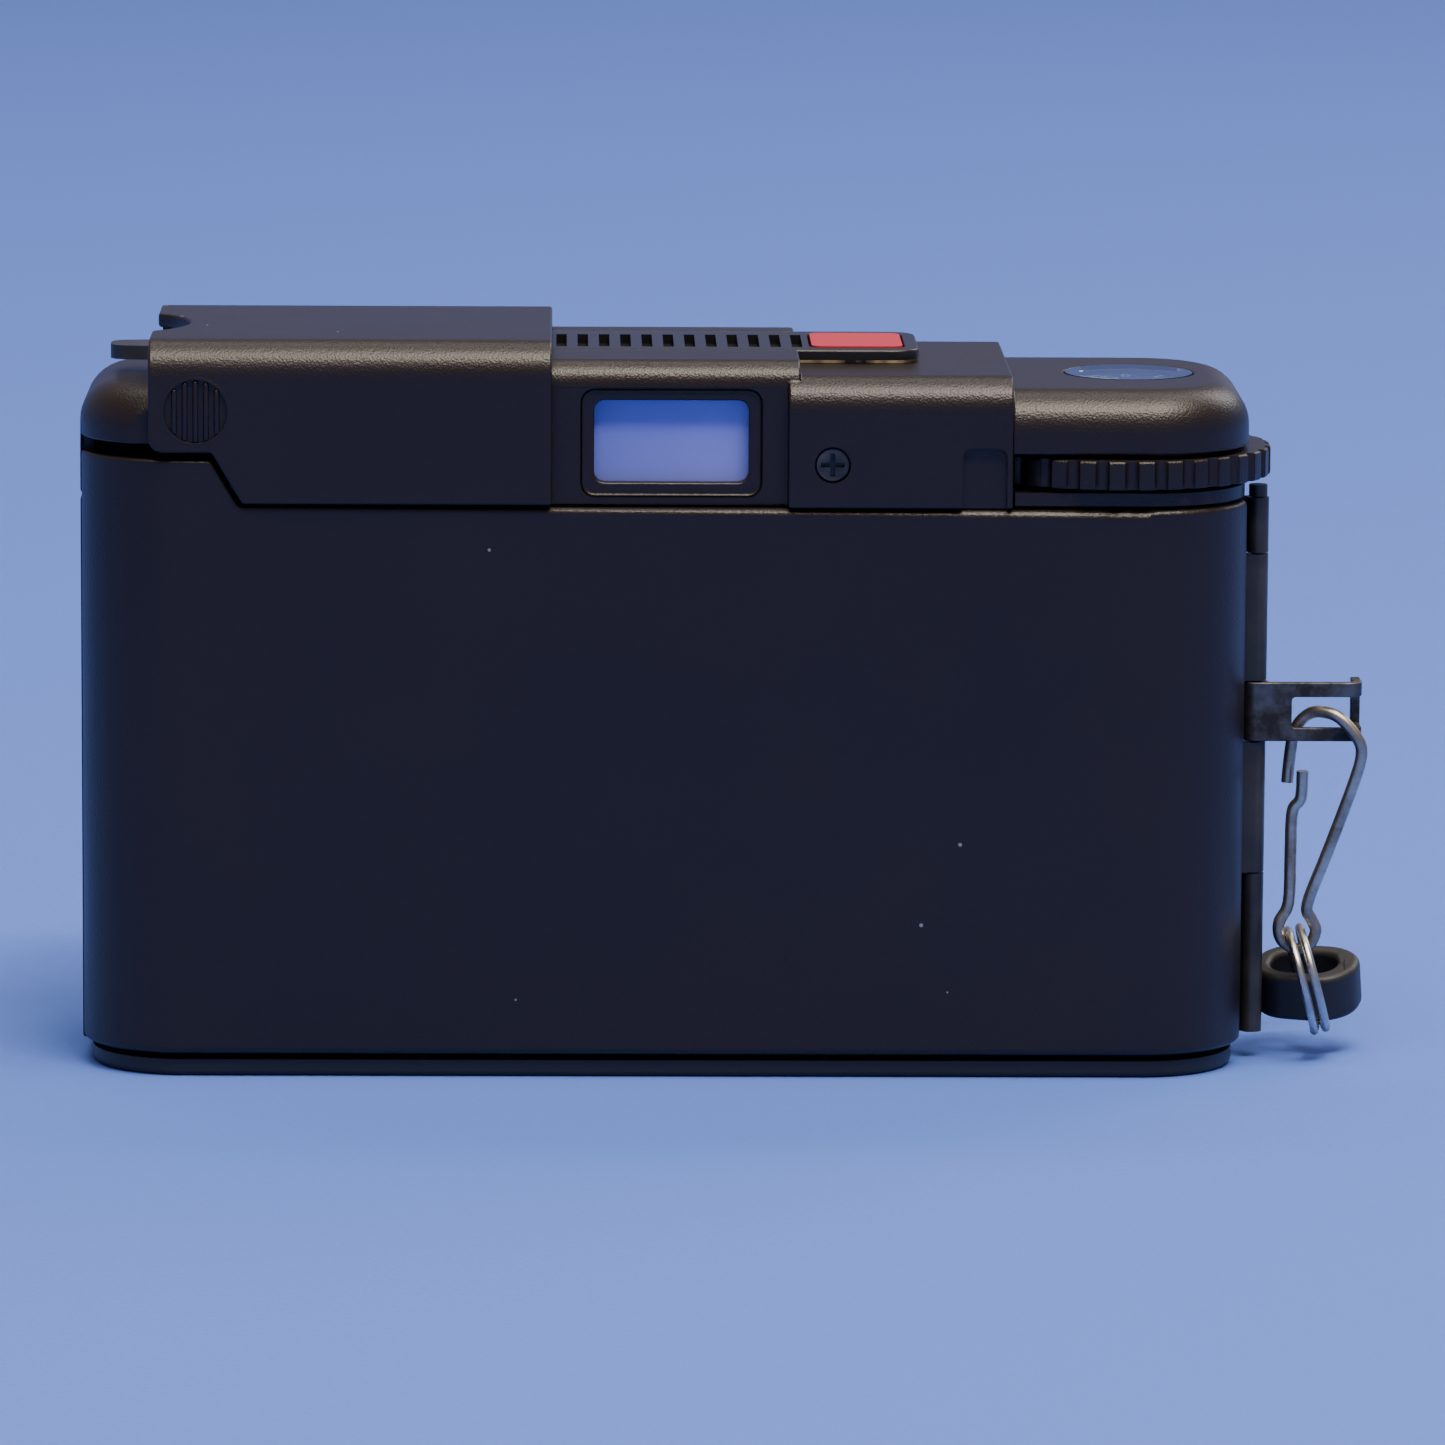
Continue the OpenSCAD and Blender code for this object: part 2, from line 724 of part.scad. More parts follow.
module iso_lever() {
    color("#1c1c1e") union() {
        box(-5, -2.2, hd + 0.2, hd + 1.4, core_z + 4.4, core_z + 6.8);
        box(-4.9, -3.4, hd - shell_wall, hd + 0.3, core_z + 5.2, core_z + 6);
    }
}

module meter_window() {
    color("#3a4048") rod_y(-5.6, film_z + 16, 1.8, hd - shell_wall, hd + 0.1);
}

// ---- back door ----

module door_shell() {
    difference() {
        body_slab(0, core_z, step_z);
        body_slab(door_wall, 0, far);
        box(-far, far, door_edge_y, far, 0, far);
        box(step_foot_x, far, -far, far, deck_z, far);
    }
}

module back_door() {
    color("#202024") difference() {
        door_shell();
        along_y(-far, far) polygon([
            [step_foot_x, deck_z], [step_x, step_z + 0.01],
            [step_x, far], [far, far], [far, deck_z]
        ]);
    }
}

module door_leaf() {
    side_x = hw - 2.6;
    web_y = hinge_y - barrel_hinge_r;
    color("#26262a") union() {
        for (z = [[knuckle_low, lug_z0 - joint_gap], [lug_z0 + lug_h + joint_gap, knuckle_high]]) {
            knuckle(z[0], z[1]);
            difference() {
                box(side_x, hinge_x, web_y, web_y + 0.45, z[0], z[1]);
                disc(hinge_x, hinge_y, pin_r + 0.04, 0, far);
            }
        }
        box(side_x, side_x + leaf_t, door_edge_y - 1.3, web_y + 0.45, knuckle_low, knuckle_high);
    }
}

module plate_spring() {
    y = -hd + door_wall;
    color("#a8a8ac") translate([0, 0, film_z - 4]) linear_extrude(8) polygon([
        [-12, y], [-6, y + 0.25], [0, y], [6, y + 0.25], [12, y],
        [12, y + 0.2], [6, y + 0.45], [0, y + 0.2], [-6, y + 0.45], [-12, y + 0.2]
    ]);
}

module light_seals() {
    y = -hd + door_wall;
    color("#101012") {
        box(-40, 38, y, film_y - fit, core_z + 1, core_z + 2.6);
        box(-40, 38, y, film_y - fit, deck_z - 2.9, deck_z - 1.5);
    }
}

module latch_hook() {
    x = -hw + 2;
    color("#9a9a9c") box(x, x + 0.8, door_edge_y - 1.3, door_edge_y + 2.2, film_z + 4, film_z + 10);
}

module latch_bar() {
    x = -hw + shell_wall + 0.2;
    y = door_edge_y + 2.6;
    color("#9a9a9c") box(x, x + 0.7, y, y + 2.9, film_z + 2, film_z + 19);
}

module pressure_plate() {
    color("#2a2a2c") difference() {
        box(-20.5, 17.4, film_y - 1, film_y - 0.5, film_z - 15.5, film_z + 15.5);
        for (x = [-16, 13], z = [-12, 12]) rod_y(x, film_z + z, 1.2, -far, far);
    }
}

// ---- sliding cover ----

// Section of the cover in Y and Z, drawn in by g
module cover_section(g, y0) {
    top = mid_z + 0.5 + cover_wall;
    front = hd + cover_bulge;
    top_r = 13;
    low_r = 9;
    back_r = 3;
    rect(y0 + g, front - g, core_z + 10, top - top_r);
    rect(y0 + back_r, front - top_r, core_z + 10, top - g);
    rect(y0 + g, front - top_r, core_z + 10, top - back_r);
    rect(y0 + g, front - low_r, core_z + 1 + g, core_z + 10.1);
    translate([y0 + back_r, top - back_r]) circle(back_r - g);
    translate([front - top_r, top - top_r]) circle(top_r - g);
    translate([front - low_r, core_z + 1 + low_r]) circle(low_r - g);
}

// Outline of the cover from above, with its domed end rounded
module cover_outline(g, x1) {
    front = hd + cover_bulge;
    r = 9;
    rect(cover_x0 + g, x1, -far, front - r);
    rect(cover_x0 + r, x1, -far, front - g);
    translate([cover_x0 + r, front - r]) circle(r - g);
}

module clamshell_cover() {
    y0 = flange_y - cover_wall;
    lip_z = core_z + 1;
    grip_x = cover_x0 + 4;
    grip_z = deck_z + 8.2;
    notch_r = 8.5;
    color("#202024") difference() {
        intersection() {
            along_x(cover_x0, cover_x1) cover_section(0, y0);
            linear_extrude(far) cover_outline(0, cover_x1);
        }
        // open through from end to end over the body
        intersection() {
            along_x(-far, far) {
                cover_section(cover_wall, y0);
                rect(flange_y, hd + slide_gap, -1, core_z + 20);
            }
            box(-far, far, -far, hd + slide_gap, 0, far);
        }
        // hollow of the dome, closed at its outer end
        intersection() {
            along_x(cover_x0, far) cover_section(cover_wall, y0);
            linear_extrude(far) cover_outline(cover_wall, far);
        }
        // lower edge of the rear flange
        box(-far, far, -far, 0, -1, deck_z + 0.3);
        along_y(-far, 0) polygon([
            [cover_x0 - 1, deck_z], [cover_x0 + 8.1, deck_z],
            [cover_x0 + 5.35, deck_z + 4.65], [cover_x0 - 1, deck_z + 4.65]
        ]);
        disc(cover_x0 + 3 - notch_r, 0, notch_r, deck_z, far);
        rod_y(grip_x, grip_z, 2.7, -far, y0 + 0.35);
        // groove that lets the closed end pass over the front rail
        box(-far, cover_x0 + 4, hd, hd + 1.8, core_z + 2.3, core_z + 3.9);
    }
    color("#202024") for (k = [-2 : 2]) {
        half = sqrt(2.6 ^ 2 - (k * 0.9) ^ 2);
        box(grip_x + k * 0.9 - 0.2, grip_x + k * 0.9 + 0.2, y0 + 0.05, y0 + 0.4,
            grip_z - half, grip_z + half);
    }
}

// ---- film transport ----

function wheel_points() = [
    for (k = [0 : wheel_grooves - 1], s = [0 : 5])
        let (
            share = [0, 0.06, 0.28, 0.5, 0.72, 0.86][s],
            r = wheel_r - [0.55, 0, 0, 0, 0.1, 0.55][s],
            a = (k + share) * 360 / wheel_grooves
        )
        [r * cos(a), r * sin(a)]
];

module thumb_wheel() {
    color("#26262a") difference() {
        union() {
            translate([wheel_x, wheel_y, wheel_z0]) linear_extrude(wheel_t - 0.3) polygon(wheel_points());
            disc(wheel_x, wheel_y, wheel_r - 0.8, wheel_z0, wheel_z0 + wheel_t);
        }
        disc(wheel_x, wheel_y, shaft_r, 0, far);
    }
}

module advance_shaft() {
    color("#a8a8ac") union() {
        disc(wheel_x, wheel_y, shaft_r, chassis_z0 + 0.3, wheel_z0 + wheel_t);
        gear(wheel_x, wheel_y, drive_teeth, idler_dir, gear_z0, gear_z0 + gear_t);
    }
}

module take_up_spool() {
    low = pocket_z1 + 0.9;
    high = chamber_z1 - 0.3;
    color("#1e1e20") difference() {
        union() {
            disc(wheel_x, wheel_y, 4, low, high);
            disc(wheel_x, wheel_y, spool_r, low, low + 0.9);
            disc(wheel_x, wheel_y, spool_r, high - 0.9, high);
        }
        disc(wheel_x, wheel_y, shaft_r, 0, far);
        for (a = [0, 120, 240]) translate([wheel_x, wheel_y, 0]) rotate([0, 0, a]) {
            box(2.6, 5, -0.6, 0.6, film_z - 12, film_z + 12);
        }
    }
}

module idler_gear() {
    color("#b8a060") difference() {
        gear(idler_x, idler_y, idler_teeth, idler_phase, gear_z0, gear_z0 + gear_t);
        disc(idler_x, idler_y, idler_pin_r + 0.05, 0, far);
    }
}

module film_sprocket() {
    low = pocket_z1 + 0.8;
    high = chamber_z1 - 0.3;
    color("#a8a8ac") union() {
        disc(sprocket_x, sprocket_y, sprocket_shaft_r, gear_z0, chassis_z1 - 0.6);
        gear(sprocket_x, sprocket_y, sprocket_teeth, sprocket_phase, gear_z0, gear_z0 + gear_t);
        disc(sprocket_x, sprocket_y, 2.8, low, high);
        for (side = [-1, 1]) {
            z = film_z + side * 14.2;
            disc(sprocket_x, sprocket_y, sprocket_r, z - 1.6, z + 1.6);
            for (k = [0 : 5]) translate([sprocket_x, sprocket_y, z]) rotate([0, 0, k * 60 + 30]) {
                box(sprocket_r - 0.5, sprocket_r + 0.9, -0.5, 0.5, -0.7, 0.7);
            }
        }
    }
}

module counter_window() {
    color("#d0d8e0", 0.5) disc(counter_x, counter_y, counter_r, dome_z - shell_wall + 0.1, dome_z);
}

module counter_dial() {
    floor_z = dome_floor_z + floor_t;
    color("#e8e8e8") union() {
        disc(counter_x, counter_y, 7, dome_z - 2.4, dome_z - 1.8);
        disc(counter_x, counter_y, 1, floor_z + 0.1, dome_z - 1.8);
    }
}

module rewind_fork() {
    color("#a8a8ac") union() {
        disc(cassette_x, 0, 2, chamber_z1 - 0.6, dome_z + 1.3);
        box(cassette_x - 2.4, cassette_x + 2.4, -0.5, 0.5, chamber_z1 - 4.5, chamber_z1 - 0.6);
    }
}

module rewind_knob() {
    color("#26262a") difference() {
        disc(cassette_x, 0, knob_r, dome_z + 0.3, dome_z + 1.1);
        disc(cassette_x, 0, 2, 0, far);
    }
}

module rewind_crank() {
    z = dome_z + 1.1;
    color("#303034") difference() {
        translate([cassette_x, 0, z]) linear_extrude(1.2) {
            polygon([[-10.5, -2.2], [2, -3.5], [2, 3.5], [-10.5, 2.2]]);
            translate([2, 0]) circle(3.5);
            soft_rect(-crank_r, -8, -2.2, 2.2, 1.6);
        }
        disc(cassette_x, 0, 2, 0, z + 0.2);
    }
}

// ---- buttons and levers ----

module shutter_release() {
    w = button[0] / 2;
    d = button[1] / 2;
    color("#d65c62") union() {
        soft_box(button_x - w, button_x + w, button_y - d, button_y + d, dome_z - 0.3, mid_z + 0.1, 1);
        box(button_x - w - 0.6, button_x + w + 0.6, button_y - d - 0.6, button_y + d + 0.6,
            dome_z - 0.7, dome_z - 0.2);
    }
}

module rewind_button() {
    color("#b0b0b4") union() {
        disc(sprocket_x, sprocket_y, 1.6, 0.3, base_t + 0.1);
        disc(sprocket_x, sprocket_y, 2.4, base_t + 0.1, base_t + 0.5);
    }
}

module battery_cover() {
    color("#a0a0a4") difference() {
        disc(cell_x, cell_y, cell_r + 1.2, 0.15, base_t);
        box(cell_x - 4.5, cell_x + 4.5, cell_y - 0.7, cell_y + 0.7, -1, 0.9);
    }
}

module self_timer_lever() {
    color("#a8a8ac") difference() {
        soft_box(lever_x - 2.5, lever_x + lever_l, lever_y - 2.5, lever_y + 2.5, 0.2, 1.3, 2.4);
        disc(lever_x, lever_y, 1.05, -1, far);
    }
}

module lever_pivot() {
    color("#c0c0c4") disc(lever_x, lever_y, 1, 0.15, core_z + 1.4);
}

module base_screws() {
    color("#a8a8ac") for (p = base_screws_at) {
        translate([p[0], p[1], 0]) difference() {
            union() {
                translate([0, 0, 0.2]) cylinder(r = 1.4, h = 0.9);
                translate([0, 0, 0.3]) cylinder(r = 0.7, h = core_z + 1.2);
            }
            box(-1.1, 1.1, -0.18, 0.18, -1, 0.6);
            box(-0.18, 0.18, -1.1, 1.1, -1, 0.6);
        }
    }
}

module rear_screw() {
    y0 = -hd - 0.1;
    color("#141416") translate([button_x - 2.4, y0, deck_z + 3.8]) rotate([-90, 0, 0]) difference() {
        union() {
            cylinder(r = 1.35, h = 0.9);
            cylinder(r = 0.75, h = 7);
        }
        box(-1, 1, -0.2, 0.2, -1, 0.5);
        box(-0.2, 0.2, -1, 1, -1, 0.5);
    }
}

// ---- strap lug, snap hook, ring and strap end ----

module strap_lug() {
    z1 = lug_z0 + lug_h;
    back = lug_y + 3.7;
    color("#3a3834") difference() {
        union() {
            disc(hinge_x, hinge_y, 1.15, lug_z0, z1);
            box(hinge_x, lug_x1, lug_y, lug_y + lug_t, lug_z0, z1);
            box(lug_x1 - lug_t, lug_x1, lug_y, back, lug_z0, z1);
        }
        disc(hinge_x, hinge_y, pin_r + 0.04, 0, far);
        box(hinge_x + 3.1, far, -far, back - 0.9, lug_z0 + 1.15, z1 - 1.25);
    }
}

module snap_hook() {
    x = hinge_x;
    z = lug_z0;
    y = lug_y + lug_t / 2;
    color("#a89878") wire([
        [x + 2.9, y + 1.1, z - 3.8], [x + 3.1, y + 1.1, z - 1.5], [x + 3.5, y + 1.1, z + 0.8],
        [x + 4.6, y + 0.8, z + 2.2], [x + 5.9, y, z + 2.45], [x + 7.2, y - 0.8, z + 2.1],
        [x + 8.6, y - 1.2, z + 0.6], [x + 9.1, y - 1.2, z - 1], [x + 8.3, y - 1.1, z - 4],
        [x + 6.4, y - 0.6, z - 9.5], [x + 4.7, y - 0.3, z - 14.2], [x + 5.1, y, z - 15.6],
        [x + 5.5, y, z - 16.6], [x + 5, y, z - 17.8], [x + 3.8, y, z - 18.2],
        [x + 2.5, y, z - 17.4], [x + 2.3, y, z - 15.9], [x + 3.1, y, z - 14.2],
        [x + 3.2, y, z - 10], [x + 3.3, y, z - 6.2], [x + 4, y - 0.2, z - 5], [x + 4.1, y - 0.3, z - 2.6]
    ], wire_d, 8, 3);
}

module split_ring() {
    r = (ring_d - ring_wire) / 2;
    color("#c8c4bc") translate(ring_at) rotate([0, 90 + ring_tilt, 0]) rotate_extrude() {
        for (side = [-1, 1]) translate([r, side * 0.38]) circle(ring_wire / 2, $fn = 24);
    }
}

module strap_end() {
    a = strap_l / 2;
    b = strap_w / 2;
    r = b - 0.2;
    color("#161618") translate(strap_at) rotate(strap_turn) difference() {
        soft_box(-a, a, -b, b, -strap_h / 2, strap_h / 2, r);
        soft_box(-a + strap_wall, a - strap_wall, -b + strap_wall, b - strap_wall, -far, far, r - strap_wall);
    }
}

module strap_rivet() {
    color("#c8c4bc") translate(strap_at) rotate(strap_turn) translate([-0.6, strap_w / 2, 0.6]) {
        rotate([-90, 0, 0]) difference() {
            cylinder(r = 1.1, h = 0.5);
            translate([0, 0, -1]) cylinder(r = 0.5, h = 3);
        }
    }
}

chassis();
front_cover();
top_cover();
base_plate();
wheel_plate();
top_strip();
hinge_leaf();
hinge_pin();
tripod_bush();
batteries();
circuit_board();
release_switch();
viewfinder_tube();
viewfinder_lens();
eyepiece_lens();
beam_splitter();
rangefinder_window();
lens_barrel();
lens_bezel();
lens_front();
lens_rear();
aperture_plate();
shutter_plate();
counter_window();
meter_window();
base_screws();
rear_screw();
lever_pivot();
back_door();
door_leaf();
plate_spring();
light_seals();
latch_hook();
pressure_plate();
clamshell_cover();
thumb_wheel();
advance_shaft();
take_up_spool();
idler_gear();
film_sprocket();
counter_dial();
rewind_knob();
rewind_crank();
rewind_fork();
shutter_release();
focus_ring();
aperture_lever();
iso_lever();
self_timer_lever();
rewind_button();
battery_cover();
shutter_blade_left();
shutter_blade_right();
rangefinder_mirror();
latch_bar();
strap_lug();
snap_hook();
split_ring();
strap_end();
strap_rivet();
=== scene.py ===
import bpy, json, math
from mathutils import Vector, Matrix


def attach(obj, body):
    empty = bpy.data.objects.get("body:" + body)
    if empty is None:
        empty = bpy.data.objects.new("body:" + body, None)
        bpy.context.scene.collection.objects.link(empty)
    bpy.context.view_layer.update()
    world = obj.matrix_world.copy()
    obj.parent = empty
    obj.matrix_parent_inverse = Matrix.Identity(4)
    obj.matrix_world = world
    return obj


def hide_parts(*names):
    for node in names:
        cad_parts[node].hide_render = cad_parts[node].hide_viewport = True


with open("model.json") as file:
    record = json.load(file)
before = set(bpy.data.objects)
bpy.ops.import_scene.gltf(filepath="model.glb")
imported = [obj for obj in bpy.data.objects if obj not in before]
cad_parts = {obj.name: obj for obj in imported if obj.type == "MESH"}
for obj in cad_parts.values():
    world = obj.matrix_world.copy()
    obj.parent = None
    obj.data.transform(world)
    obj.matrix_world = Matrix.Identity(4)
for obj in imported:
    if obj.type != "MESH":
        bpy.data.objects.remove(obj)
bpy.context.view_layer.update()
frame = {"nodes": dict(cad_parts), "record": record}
nodes = frame["nodes"]
MM = 0.001


# ---- camera ----

# Where the camera stands and what it looks at, in millimetres of the shared frame
EYE = Vector((-9.09, -783.06, 153.33))
LOOK_AT = Vector((4.88, -15, 30.97))
# Focal length and sensor width in millimetres, and how far the camera leans
FOCAL, SENSOR = 228.1, 36
LEAN = math.radians(0.336)


def make_camera():
    """A long lens behind the object, a little above it and leaning by a third of a degree."""
    eye = EYE * MM
    ahead = (LOOK_AT * MM - eye).normalized()
    right = ahead.cross(Vector((0, 0, 1))).normalized()
    up = right.cross(ahead)
    across = right * math.cos(LEAN) + up * math.sin(LEAN)
    upward = -right * math.sin(LEAN) + up * math.cos(LEAN)
    data = bpy.data.cameras.new("camera")
    data.sensor_width, data.lens = SENSOR, FOCAL
    data.clip_start, data.clip_end = 0.05, 20
    cam = bpy.data.objects.new("camera", data)
    bpy.context.scene.collection.objects.link(cam)
    place = Matrix((across, upward, -ahead)).transposed().to_4x4()
    place.translation = eye
    cam.matrix_world = place
    bpy.context.scene.camera = cam


make_camera()


# ---- shared surface effects ----

def new_group(name, control, default, outputs):
    """An empty effect with one number to set and the named numbers it gives."""
    g = bpy.data.node_groups.new(name, "ShaderNodeTree")
    g.interface.new_socket(control, in_out="INPUT", socket_type="NodeSocketFloat").default_value = default
    for label in outputs:
        g.interface.new_socket(label, in_out="OUTPUT", socket_type="NodeSocketFloat")
    return g, g.nodes.new("NodeGroupInput"), g.nodes.new("NodeGroupOutput")


def node(tree, kind, **values):
    """A node with its sockets, or else its settings, filled in by name."""
    n = tree.nodes.new(kind)
    for k, v in values.items():
        if k in n.inputs:
            n.inputs[k].default_value = v
        else:
            setattr(n, k, v)
    return n


def math_node(tree, op, a, b, clamp=False):
    n = tree.nodes.new("ShaderNodeMath")
    n.operation, n.use_clamp = op, clamp
    for socket, v in zip(n.inputs, (a, b)):
        if isinstance(v, (int, float)):
            socket.default_value = v
        else:
            tree.links.new(v, socket)
    return n.outputs[0]


def times(tree, a, b):
    return math_node(tree, "MULTIPLY", a, b)


def plus(tree, a, b, clamp=False):
    return math_node(tree, "ADD", a, b, clamp)


def on_object(tree):
    return tree.nodes.new("ShaderNodeTexCoord").outputs["Object"]


def axes_of(tree, where):
    """The X, Y and Z of a place, as three numbers."""
    n = tree.nodes.new("ShaderNodeSeparateXYZ")
    tree.links.new(where, n.inputs[0])
    return n.outputs


def mix_color(tree, factor, a, b):
    """Colour a where the factor is 0 and colour b where it is 1."""
    n = tree.nodes.new("ShaderNodeMix")
    n.data_type = "RGBA"
    for sock, v in ((n.inputs[0], factor), (n.inputs[6], a), (n.inputs[7], b)):
        if isinstance(v, tuple):
            sock.default_value = (*v, 1)
        else:
            tree.links.new(v, sock)
    return n.outputs[2]


def noise(tree, where, scale, detail=3.0, rough=0.5):
    n = node(tree, "ShaderNodeTexNoise", Scale=scale, Detail=detail, Roughness=rough)
    tree.links.new(where, n.inputs["Vector"])
    return n.outputs["Fac"]


def ramp(tree, value, low, high):
    """0 up to low, 1 from high on, and even between them."""
    n = tree.nodes.new("ShaderNodeMapRange")
    n.inputs["From Min"].default_value = low
    n.inputs["From Max"].default_value = high
    n.clamp = True
    tree.links.new(value, n.inputs["Value"])
    return n.outputs["Result"]


def moulded_grain():
    """Fine leathery grain of the moulded shell: a height and a slow tone change."""
    g, i, o = new_group("moulded_grain", "Scale", 3000.0, ("Height", "Tone"))
    at = on_object(g)
    v = node(g, "ShaderNodeTexVoronoi", feature="SMOOTH_F1")
    g.links.new(at, v.inputs["Vector"])
    g.links.new(i.outputs["Scale"], v.inputs["Scale"])
    fine = noise(g, at, 5200.0, 2.0)
    g.links.new(plus(g, times(g, v.outputs["Distance"], 0.7), times(g, fine, 0.5)), o.inputs["Height"])
    g.links.new(noise(g, at, 42.0, 4.0, 0.6), o.inputs["Tone"])
    return g


def dust_marks():
    """Sparse dust specks and short hair scratches as one mask."""
    g, i, o = new_group("dust_marks", "Amount", 0.5, ("Mask",))
    at = on_object(g)
    v = node(g, "ShaderNodeTexVoronoi", Scale=210.0, Randomness=1.0)
    g.links.new(at, v.inputs["Vector"])
    speck_size = 0.035
    speck = math_node(g, "LESS_THAN", v.outputs["Distance"], speck_size)
    some = math_node(g, "GREATER_THAN", noise(g, at, 61.0), 0.54)
    stretch = node(g, "ShaderNodeMapping", Scale=(1.0, 1.0, 0.22), Rotation=(0.4, 0.5, 0.3))
    g.links.new(at, stretch.inputs["Vector"])
    w = node(g, "ShaderNodeTexVoronoi", Scale=330.0)
    g.links.new(stretch.outputs["Vector"], w.inputs["Vector"])
    hair = math_node(g, "LESS_THAN", w.outputs["Distance"], speck_size)
    rare = math_node(g, "GREATER_THAN", noise(g, at, 95.0), 0.66)
    both = math_node(g, "MAXIMUM", times(g, speck, some), times(g, hair, rare))
    g.links.new(times(g, both, i.outputs["Amount"]), o.inputs["Mask"])
    return g


def edge_wear():
    """Mask of the edges rubbed by hands and pockets, broken up by noise."""
    g, i, o = new_group("edge_wear", "Amount", 1.0, ("Mask",))
    geo = g.nodes.new("ShaderNodeNewGeometry")
    at = on_object(g)
    edge = ramp(g, geo.outputs["Pointiness"], 0.54, 0.64)
    broken = ramp(g, noise(g, at, 260.0, 4.0), 0.38, 0.68)
    g.links.new(times(g, times(g, edge, broken), i.outputs["Amount"]), o.inputs["Mask"])
    return g


def metal_marks():
    """Brushed lines and stains on bare metal."""
    g, i, o = new_group("metal_marks", "Scale", 900.0, ("Lines", "Stain"))
    at = on_object(g)
    flat = node(g, "ShaderNodeMapping", Scale=(0.08, 1.0, 1.0))
    g.links.new(at, flat.inputs["Vector"])
    n = node(g, "ShaderNodeTexNoise", Detail=3.0)
    g.links.new(flat.outputs["Vector"], n.inputs["Vector"])
    g.links.new(i.outputs["Scale"], n.inputs["Scale"])
    g.links.new(n.outputs["Fac"], o.inputs["Lines"])
    g.links.new(noise(g, at, 310.0, 5.0, 0.65), o.inputs["Stain"])
    return g


grain_group = moulded_grain()
dust_group = dust_marks()
wear_group = edge_wear()
metal_group = metal_marks()


def use_group(tree, group, **values):
    n = tree.nodes.new("ShaderNodeGroup")
    n.node_tree = group
    for k, v in values.items():
        n.inputs[k].default_value = v
    return n


def start_material(name, metallic=0.0, rough=0.5):
    m = bpy.data.materials.new(name)
    m.use_nodes = True
    shader = m.node_tree.nodes["Principled BSDF"]
    shader.inputs["Metallic"].default_value = metallic
    shader.inputs["Roughness"].default_value = rough
    return m, m.node_tree, shader


def bump(tree, shader, height, strength, distance):
    b = node(tree, "ShaderNodeBump", Strength=strength, Distance=distance)
    tree.links.new(height, b.inputs["Height"])
    tree.links.new(b.outputs["Normal"], shader.inputs["Normal"])


DUST = (0.33, 0.33, 0.36)
WORN_BLACK = (0.15, 0.12, 0.07)
GRAIN_DEPTH = 0.00009


def black_moulding(name, dark, light, rough, grain, dust, wear=0.0, worn_to=WORN_BLACK, relief=0.35):
    """Black surface with a fine grain, a slow change of tone, dust, and rubbed edges where wear is over 0."""
    m, t, s = start_material(name)
    gr = use_group(t, grain_group, Scale=grain)
    du = use_group(t, dust_group, Amount=dust)
    we = use_group(t, wear_group, Amount=wear)
    base = mix_color(t, ramp(t, gr.outputs["Tone"], 0.3, 0.75), dark, light)
    worn = mix_color(t, we.outputs["Mask"], base, worn_to)
    t.links.new(mix_color(t, du.outputs["Mask"], worn, DUST), s.inputs["Base Color"])
    dull = plus(t, times(t, gr.outputs["Tone"], 0.12), rough - 0.06)
    t.links.new(plus(t, dull, times(t, du.outputs["Mask"], 0.3), True), s.inputs["Roughness"])
    bump(t, s, gr.outputs["Height"], relief, GRAIN_DEPTH)
    s.inputs["Specular Tint"].default_value = (1.0, 0.89, 0.81, 1.0)
    return m


def worn_metal(name, bright, stained, rough, scale, dust=0.1, stain=(0.42, 0.7)):
    """Bare metal, bright with darker and duller stains, and fine brushed lines."""
    m, t, s = start_material(name, metallic=1.0)
    me = use_group(t, metal_group, Scale=scale)
    du = use_group(t, dust_group, Amount=dust)
    stains = ramp(t, me.outputs["Stain"], *stain)
    base = mix_color(t, stains, bright, stained)
    t.links.new(mix_color(t, du.outputs["Mask"], base, (0.3, 0.3, 0.3)), s.inputs["Base Color"])
    dull = plus(t, times(t, me.outputs["Lines"], 0.2), times(t, stains, 0.25))
    t.links.new(plus(t, dull, rough - 0.1, True), s.inputs["Roughness"])
    bump(t, s, me.outputs["Lines"], 0.25, 0.00003)
    return m


def clear_glass(name, tint, rough=0.02, bend=1.5):
    """Glass with faint smears; bend is how much it refracts."""
    m, t, s = start_material(name, rough=rough)
    s.inputs["Transmission Weight"].default_value = 1.0
    s.inputs["IOR"].default_value = bend
    at = on_object(t)
    darker = tuple(c * 0.93 for c in tint)
    t.links.new(mix_color(t, noise(t, at, 120.0), tint, darker), s.inputs["Base Color"])
    smear = ramp(t, noise(t, at, 420.0, 4.0), 0.5, 0.9)
    t.links.new(plus(t, times(t, smear, 0.06), rough), s.inputs["Roughness"])
    return m


def printed_dial(name):
    """White ink and card."""
    m, t, s = start_material(name, rough=0.45)
    at = on_object(t)
    tone = noise(t, at, 900.0, 3.0)
    t.links.new(mix_color(t, tone, (0.62, 0.62, 0.6), (0.72, 0.72, 0.69)), s.inputs["Base Color"])
    bump(t, s, tone, 0.1, 0.00002)
    return m


def laminate(name):
    """Green circuit board with its copper tracks."""
    m, t, s = start_material(name, rough=0.4)
    at = on_object(t)
    b = node(t, "ShaderNodeTexBrick", Scale=700.0)
    t.links.new(at, b.inputs["Vector"])
    b.inputs["Color1"].default_value = (0.02, 0.11, 0.05, 1)
    b.inputs["Color2"].default_value = (0.025, 0.13, 0.06, 1)
    b.inputs["Mortar"].default_value = (0.35, 0.24, 0.08, 1)
    t.links.new(b.outputs["Color"], s.inputs["Base Color"])
    return m


